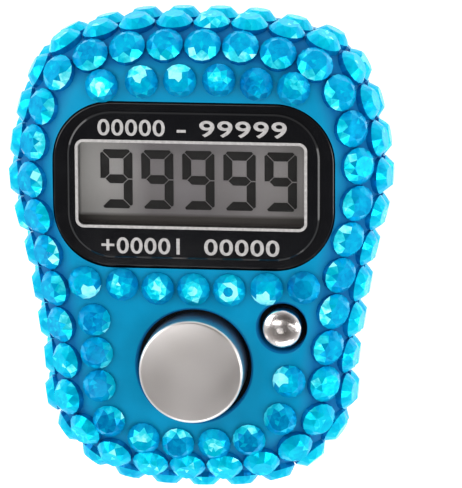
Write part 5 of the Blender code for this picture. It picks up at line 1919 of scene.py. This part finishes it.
@dataclass
class FingerStrap:
    """Silicone strap in two halves with its pins and stud, buttoned to a closed loop."""

    thickness: float = 1.5 * MM
    width: float = 10.0 * MM
    soft_edge: float = 0.42 * MM
    pin_x: float = 9.95 * MM
    pin_z: float = 18.1 * MM
    pin_radius: float = 0.5 * MM
    pin_reach: float = 6.75 * MM
    eye_radius: float = 1.6 * MM
    eye_bore: float = 0.75 * MM
    bend: float = 6.5 * MM
    bend_z: float = 7.25 * MM
    right_bend: float = 3.45 * MM
    left_bend: float = -5.25 * MM
    tail: float = 8.0 * MM
    hole: float = 1.1 * MM
    hole_pitch: float = 3.6 * MM
    holes: int = 5
    # Straight part under a lug: how far it runs into its eye, and the heights that it passes
    rooted: float = 0.6 * MM
    straight: Span = (15.0 * MM, 11.0 * MM)
    # Round tip: how much of its half circle is drawn, and how thin its very end is
    tip: float = 0.985
    tip_thin: float = 0.55
    # Short half: its distance from the long one, and how far it follows the bend
    lap_gap: float = 0.3 * MM
    short_turn: float = math.radians(35.0)
    cutter_reach: float = 3.0 * MM
    stud_z: float = 10.05 * MM
    stud_x: float = -9.2 * MM
    stud_head: float = 1.6 * MM
    stud_neck: float = 0.75 * MM
    stud_plate: float = 0.4 * MM
    stud_soft: float = 0.1 * MM
    # Under the head: room beyond both halves; in the head: height of its edge and of its dome
    stud_room: float = 0.55 * MM
    stud_crown: Span = (0.12 * MM, 0.58 * MM)
    # Hole and seat for it in the short half, and how far they reach in and out from its foot
    stud_hole: float = 0.875 * MM
    stud_seat: float = 1.85 * MM
    seat_reach: Span = (1.0 * MM, 0.65 * MM)
    rubber: Finish = StrapSilicone()
    stud_metal: Finish = SatinChrome(name="Satin chrome stud", mottle=0.8 * MM)
    pin_metal: Finish = ZincScrewSteel()

    def section(self, middle: Vector, along: Vector, width: float, thickness: float) -> list[Vector]:
        """Soft-edged cross section of the strap.

        Args:
            middle: Its middle.
            along: Direction of the strap there.
            width: Whole width.
            thickness: Whole thickness.

        Returns:
            The section's points.
        """
        out = Vector((along.z, 0.0, -along.x))
        corner = min(self.soft_edge, width * 0.45, thickness * 0.45)
        loop = rounded_box((0.0, 0.0), width, thickness, corner, 5)
        return [middle + Vector((0.0, x, 0.0)) + out * y for x, y in loop]

    def hanging(self, side: int, rest: list[Point]) -> list[list[Vector]]:
        """Sections of a half that hangs from a lug.

        Args:
            side: Right or left lug, as 1 or -1.
            rest: Places that it passes after the straight part under the lug.

        Returns:
            The sections in order.
        """
        heights = (self.pin_z + self.rooted, *self.straight)
        points = [Vector((x, 0.0, z)) for x, z in [(side * self.pin_x, z) for z in heights] + rest]
        alongs = [(points[min(i + 1, len(points) - 1)] - points[max(i - 1, 0)]).normalized()
                  for i in range(len(points))]
        return [self.section(point, along, self.width, self.thickness)
                for point, along in zip(points, alongs)]

    def long_band(self) -> Piece:
        """Long half: from the right lug under the finger to its round tip."""
        side, start = self.left_bend - self.bend, self.bend_z + self.tail - self.width / 2
        rest = arc((self.right_bend, self.bend_z), self.bend, 0.0, -math.pi / 2, 24)
        rest += [(0.0, self.bend_z - self.bend)]
        rest += arc((self.left_bend, self.bend_z), self.bend, -math.pi / 2, -math.pi, 24) + [(side, start)]
        sections = self.hanging(1, rest)
        for i in range(1, 15):
            share = math.sin(math.pi / 2 * i / 14) * self.tip
            taper = math.sqrt(max(0.0, 1 - (share / self.tip) ** 6))
            middle = Vector((side, 0.0, start + self.width / 2 * share))
            sections.append(self.section(middle, UP, self.width * math.sqrt(1 - share ** 2),
                                         self.thickness * (self.tip_thin + (1 - self.tip_thin) * taper)))
        return skin("finger_strap_long", sections, self.rubber)

    def short_band(self) -> Piece:
        """Short half: from the left lug down inside the long one."""
        inner = self.bend - self.thickness - self.lap_gap
        rest = arc((self.left_bend, self.bend_z), inner, math.pi, math.pi + self.short_turn, 12)
        return skin("finger_strap_short", self.hanging(-1, rest), self.rubber)

    def bar(self, name: str, radius: float, start: Vector, end: Vector, *finishes: Finish,
            steps: int = 40) -> Piece:
        """Round bar between two places.

        Args:
            name: Name of the shape.
            radius: Its radius.
            start: One end.
            end: Other end.
            *finishes: One finish for each material slot.
            steps: Segments round it.

        Returns:
            The shape.
        """
        span = (end - start).length
        soft = min(radius * 0.2, 0.12 * MM)
        profile = [(0.0, span), (radius - soft, span), (radius, span - soft), (radius, soft),
                   (radius - soft, 0.0), (0.0, 0.0)]
        return turned(name, profile, start, *finishes, steps=steps, direction=(end - start).normalized())

    def eye(self, side: int) -> tuple[Piece, Piece]:
        """Round eye at a strap's end and the cutter for its pin."""
        half = Vector((0.0, self.width / 2, 0.0))
        middle = Vector((side * self.pin_x, 0.0, self.pin_z))
        return (self.bar(f"eye_{side}", self.eye_radius, middle - half, middle + half),
                self.bar(f"eye_bore_{side}", self.eye_bore, middle - half * 1.3, middle + half * 1.3))

    def hole_place(self, number: int) -> Pair:
        """Middle and outward direction of one of the long half's holes, from the stud's."""
        along = number * self.hole_pitch
        straight = self.stud_z - self.bend_z
        if along <= straight:
            return Vector((self.left_bend - self.bend, 0.0, self.stud_z - along)), Vector((-1.0, 0.0, 0.0))
        turn = (along - straight) / self.bend
        if turn <= math.pi / 2:
            direction = Vector((-math.cos(turn), 0.0, -math.sin(turn)))
            return Vector((self.left_bend, 0.0, self.bend_z)) + direction * self.bend, direction
        flat = along - straight - self.bend * math.pi / 2
        return Vector((self.left_bend + flat, 0.0, self.bend_z - self.bend)), Vector((0.0, 0.0, -1.0))

    def stud(self) -> None:
        """Mushroom stud through both halves."""
        shoulder, radius = 2 * self.thickness + self.stud_room, self.stud_head
        edge, crown = self.stud_crown
        profile = [(0.0, shoulder + edge + crown)]
        profile += arc((0.0, shoulder + edge), radius, math.pi / 2, 0.0, 10, crown)[1:]
        profile += [(radius * 0.92, shoulder), (self.stud_neck, shoulder), (self.stud_neck, self.stud_plate),
                    (radius, self.stud_plate), (radius, self.stud_soft), (radius - self.stud_soft, 0.0),
                    (0.0, 0.0)]
        piece = turned("strap_button_stud", profile, Vector((self.stud_x, 0.0, self.stud_z)), self.stud_metal,
                       steps=48, direction=Vector((-1.0, 0.0, 0.0)))
        settle(smooth(piece), Body.ROOT, "satin_chrome", "strap_stud")

    def build(self) -> None:
        """Make both halves, the pins and the stud."""
        long_band = self.long_band()
        solid, bore = self.eye(1)
        combine(long_band, Join.ADD, [solid])
        cutters = [bore]
        for number in range(self.holes):
            place, direction = self.hole_place(number)
            reach = direction * self.cutter_reach
            cutters.append(self.bar("strap_hole", self.hole, place - reach, place + reach, steps=36))
        combine(long_band, Join.CUT, cutters)
        short_band = self.short_band()
        solid, bore = self.eye(-1)
        combine(short_band, Join.ADD, [solid])
        inward, outward = self.seat_reach
        inside, seat, through = (Vector((x, 0.0, self.stud_z)) for x in (
            self.stud_x + inward, self.stud_x - outward, self.left_bend - self.bend))
        combine(short_band, Join.CUT, [bore, self.bar("stud_hole", self.stud_hole, inside, through),
                                       self.bar("stud_seat", self.stud_seat, seat, inside)])
        for band, node in ((long_band, "strap_long"), (short_band, "strap_short")):
            painted(band, self.rubber)
            settle(smooth(band, math.radians(38.0)), Body.ROOT, "strap_silicone", node)
        self.stud()
        for side, word in ((1, "right"), (-1, "left")):
            reach = Vector((0.0, self.pin_reach, 0.0))
            middle = Vector((side * self.pin_x, 0.0, self.pin_z))
            pin = self.bar(f"strap_hinge_pin_{word}", self.pin_radius, middle - reach, middle + reach,
                           self.pin_metal)
            settle(smooth(pin), Body.ROOT, "screw_steel", f"strap_pin_{word}")


# Screws


@dataclass
class CrossScrew:
    """Small pan-head screw with a cross recess and a rolled thread."""

    name: str
    node: str
    head: float = 1.3 * MM
    head_depth: float = 0.7 * MM
    shank: float = 0.7 * MM
    thread: float = 0.09 * MM
    thread_pitch: float = 0.45 * MM
    recess: float = 0.75 * MM
    recess_width: float = 0.26 * MM
    # Shares: of the shank at the tip's end, its start and its length; of the pitch at a crest and a root
    tip: Point = (0.45, 0.9, 0.5)
    turn: Span = (0.15, 0.6)
    # Shares of the head: how much of its radius is flat, how much of its depth is rounded and crossed
    flat: float = 0.62
    rounded: float = 0.55
    cross: float = 0.6
    overrun: float = 0.5 * MM
    finish: Finish = ZincScrewSteel()

    def build(self) -> None:
        """Make the screw in its node's place, head down."""
        low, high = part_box(self.node)
        middle = (low + high) / 2
        length, depth = high.z - low.z, self.head_depth
        end, start, taper = (self.shank * share for share in self.tip)
        profile = [(0.0, length), (end, length), (start, length - taper)]
        for i in range(int((length - depth - taper) / self.thread_pitch)):
            z = length - taper - i * self.thread_pitch
            profile += [(self.shank - back, z - share * self.thread_pitch)
                        for back, share in zip((0.0, self.thread), self.turn)]
        profile += [(self.shank, depth), (self.head, depth)]
        soft = depth * self.rounded
        profile += arc((self.head * self.flat, soft), self.head * (1 - self.flat), 0.0, -3 * math.pi / 7, 6,
                       soft)
        profile.append((0.0, 0.0))
        screw = turned(self.name, profile, Vector((middle.x, middle.y, low.z)), self.finish, steps=36)
        blades = []
        for across, along in ((self.recess_width, self.recess), (self.recess, self.recess_width)):
            loop = [(middle.x + sx * across, middle.y + sy * along)
                    for sx, sy in ((1, 1), (-1, 1), (-1, -1), (1, -1))]
            blades.append(prism("blade", loop, low.z - self.overrun, low.z + depth * self.cross))
        painted(combine(screw, Join.CUT, blades), self.finish)
        settle(smooth(screw), Body.ROOT, "screw_steel", self.node)


# Pieces that keep their CAD shape


@dataclass
class HiddenWorks:
    """Pieces whose CAD shape is right as it is: they get a finish only, in places with painted light or
    shade.
    """

    finishes: tuple[tuple[Finish, tuple[str, ...]], ...] = (
        (DisplayFilm(), ("lcd_front_polariser",)),
        (DisplayFilm(name="Rear polarising film", low=0.0), ("lcd_rear_polariser",)),
        (DisplayGlass(), ("lcd_front_glass", "lcd_rear_glass")),
        (MouldedPolystyrene(), ("lcd_frame",)),
        # The count plunger is painted black, as shade in its slot
        (SlotShade(), ("count_plunger",)),
        (ZebraRubber(), ("zebra_strip",)),
        (CircuitLaminate(), ("circuit_board",)),
        (PottingEpoxy(), ("chip_blob", "resistor")),
        (FiredCeramic(), ("capacitor",)),
        (CarbonRubber(), ("count_pill", "reset_pill")),
        (DrawnCellSteel(), ("coin_cell",)),
        (SpringBronze(), ("battery_contact_plus", "battery_contact_minus")),
        (MouldedCase(), ("battery_door",)),
    )

    def dress(self) -> None:
        """Put each finish in its nodes' material slots."""
        for finish, names in self.finishes:
            for name in names:
                for slot in frame["nodes"][name].material_slots:
                    slot.material = finish.material()
                LOG.info("%s: dressed as %s", name, finish.name)


# Studio


@dataclass
class Studio:
    """Paper floor, soft light and the camera at the photograph's angle."""

    pixels: tuple[int, int] = (462, 488)
    scale: float = 11.5 / MM
    distance: float = 350.0 * MM
    lean_right: float = math.radians(7.0)
    lean_up: float = math.radians(12.2)
    roll: float = math.radians(-0.2)
    aim: Point = (0.0, 6.55 * MM, 32.9 * MM)
    aim_pixel: Span = (193.0, 186.5)
    sensor: float = 36.0
    panel_distance: float = 0.5
    panel_aim: float = 30.0 * MM
    # Soft lights: name, where each stands from the object, width and height in metres, watts
    panels: tuple[tuple[str, Point, Span, float], ...] = (
        ("overhead_left_softbox", (-0.25, 0.02, 1.0), (0.08, 0.16), 0.15),
        ("overhead_foot_lamp", (-0.146, -0.284, 1.0), (0.034, 0.018), 0.020),
        ("overhead_right_strip", (0.50, -0.15, 1.0), (0.035, 0.30), 0.10),
        ("left_softbox", (-1.0, 0.35, 0.8), (0.30, 0.42), 1.1),
        ("right_softbox", (1.1, -0.12, 0.78), (0.16, 0.40), 0.8),
        ("foot_softbox", (0.1, -1.2, 0.9), (0.40, 0.20), 0.5),
    )
    # Walls of the room, from level to overhead, and how bright they are
    walls: Stops = ((0.0, "#ffffff"), (0.45, "#f4f6f8"), (0.75, "#a4a09f"), (0.95, "#4f4b4a"))
    wall_light: float = 1.05
    paper: Finish = StudioPaper()

    def camera(self) -> None:
        """Place the camera so that the aim falls on its pixel."""
        toward = Vector((math.tan(self.lean_right), math.tan(self.lean_up), 1.0)).normalized()
        right = Vector((0.0, 1.0, 0.0)).cross(toward).normalized()
        up = toward.cross(right)
        turn = Matrix.Rotation(self.roll, 3, toward)
        right, up = turn @ right, turn @ up
        shift_right = (self.pixels[0] / 2 - self.aim_pixel[0]) / self.scale
        shift_up = (self.aim_pixel[1] - self.pixels[1] / 2) / self.scale
        middle = Vector(self.aim) + right * shift_right + up * shift_up
        data = bpy.data.cameras.new("photograph_camera")
        data.sensor_fit = "HORIZONTAL"
        data.sensor_width = self.sensor
        data.lens = self.sensor * self.distance / (self.pixels[0] / self.scale)
        data.clip_start = 0.01
        data.clip_end = 5.0
        camera = placed("photograph_camera", data)
        basis = Matrix((right, up, toward)).transposed().to_4x4()
        camera.matrix_world = Matrix.Translation(middle + toward * self.distance) @ basis
        bpy.context.scene.camera = camera

    def floor(self) -> None:
        """Wide sheet of paper under the strap."""
        bm = bmesh.new()
        bmesh.ops.create_grid(bm, x_segments=4, y_segments=4, size=2.0)
        piece = from_bmesh("paper_floor", bm, self.paper)

    def panel(self, name: str, direction: Point, size: Span, strength: float) -> None:
        """Soft rectangular light that faces the object.

        Args:
            name: Name of the light.
            direction: Where it stands, from the object.
            size: Width and height.
            strength: Power in watts.
        """
        data = bpy.data.lights.new(name, "AREA")
        data.shape = "RECTANGLE"
        data.size, data.size_y = size
        data.energy = strength
        lamp = placed(name, data)
        toward = Vector(direction).normalized()
        lamp.location = Vector((0.0, 0.0, self.panel_aim)) + toward * self.panel_distance
        lamp.rotation_mode = "QUATERNION"
        lamp.rotation_quaternion = toward.to_track_quat("Z", "Y")

    def sky(self) -> None:
        """Even light from all round, dimmer overhead."""
        world = bpy.data.worlds.new("studio_walls")
        world.use_nodes = True
        tree = world.node_tree
        direction = add_node(tree, "TexCoord").outputs["Generated"]
        rise = add_node(tree, "SeparateXYZ", {0: direction}).outputs["Z"]
        ramp = add_node(tree, "ValToRGB", {"Fac": rise}, stops=self.walls)
        background = tree.nodes["Background"]
        background.inputs["Strength"].default_value = self.wall_light
        tree.links.new(ramp.outputs["Color"], background.inputs["Color"])
        bpy.context.scene.world = world

    def build(self) -> None:
        """Set the camera, the floor and the lights."""
        self.camera()
        self.floor()
        self.sky()
        for panel in self.panels:
            self.panel(*panel)
        settings = bpy.context.scene.view_settings
        settings.view_transform = "Standard"
        settings.look = "None"


def main() -> None:
    """Build each sub-assembly in order."""
    logging.basicConfig(level=logging.INFO, format="%(message)s")
    form = CaseForm()
    layout = Layout.measured()
    CaseFront(form, layout).build()
    CaseBack(form, layout).build()
    StoneSetting(form).build()
    for sub_assembly in (Window, Digits, CountCap, ResetKey):
        sub_assembly(layout).build()
    ReturnDome("count_return_dome", "count_dome", "count_press", layout.count, base=3.0 * MM, top=2.2 * MM,
               keep=0.72).build()
    ReturnDome("reset_return_dome", "reset_dome", "reset_press", layout.reset, base=1.7 * MM, top=1.15 * MM,
               keep=0.80).build()
    FingerStrap().build()
    for number in range(1, 5):
        CrossScrew(f"back_screw_{number}", f"case_screw_{number}").build()
    for number in range(1, 3):
        CrossScrew(f"board_fixing_{number}", f"board_screw_{number}", head=0.95 * MM, head_depth=0.45 * MM,
                   shank=0.5 * MM, thread=0.06 * MM, thread_pitch=0.35 * MM, recess=0.5 * MM,
                   recess_width=0.17 * MM).build()
    HiddenWorks().dress()
    Studio().build()


if __name__ == "__main__":
    main()
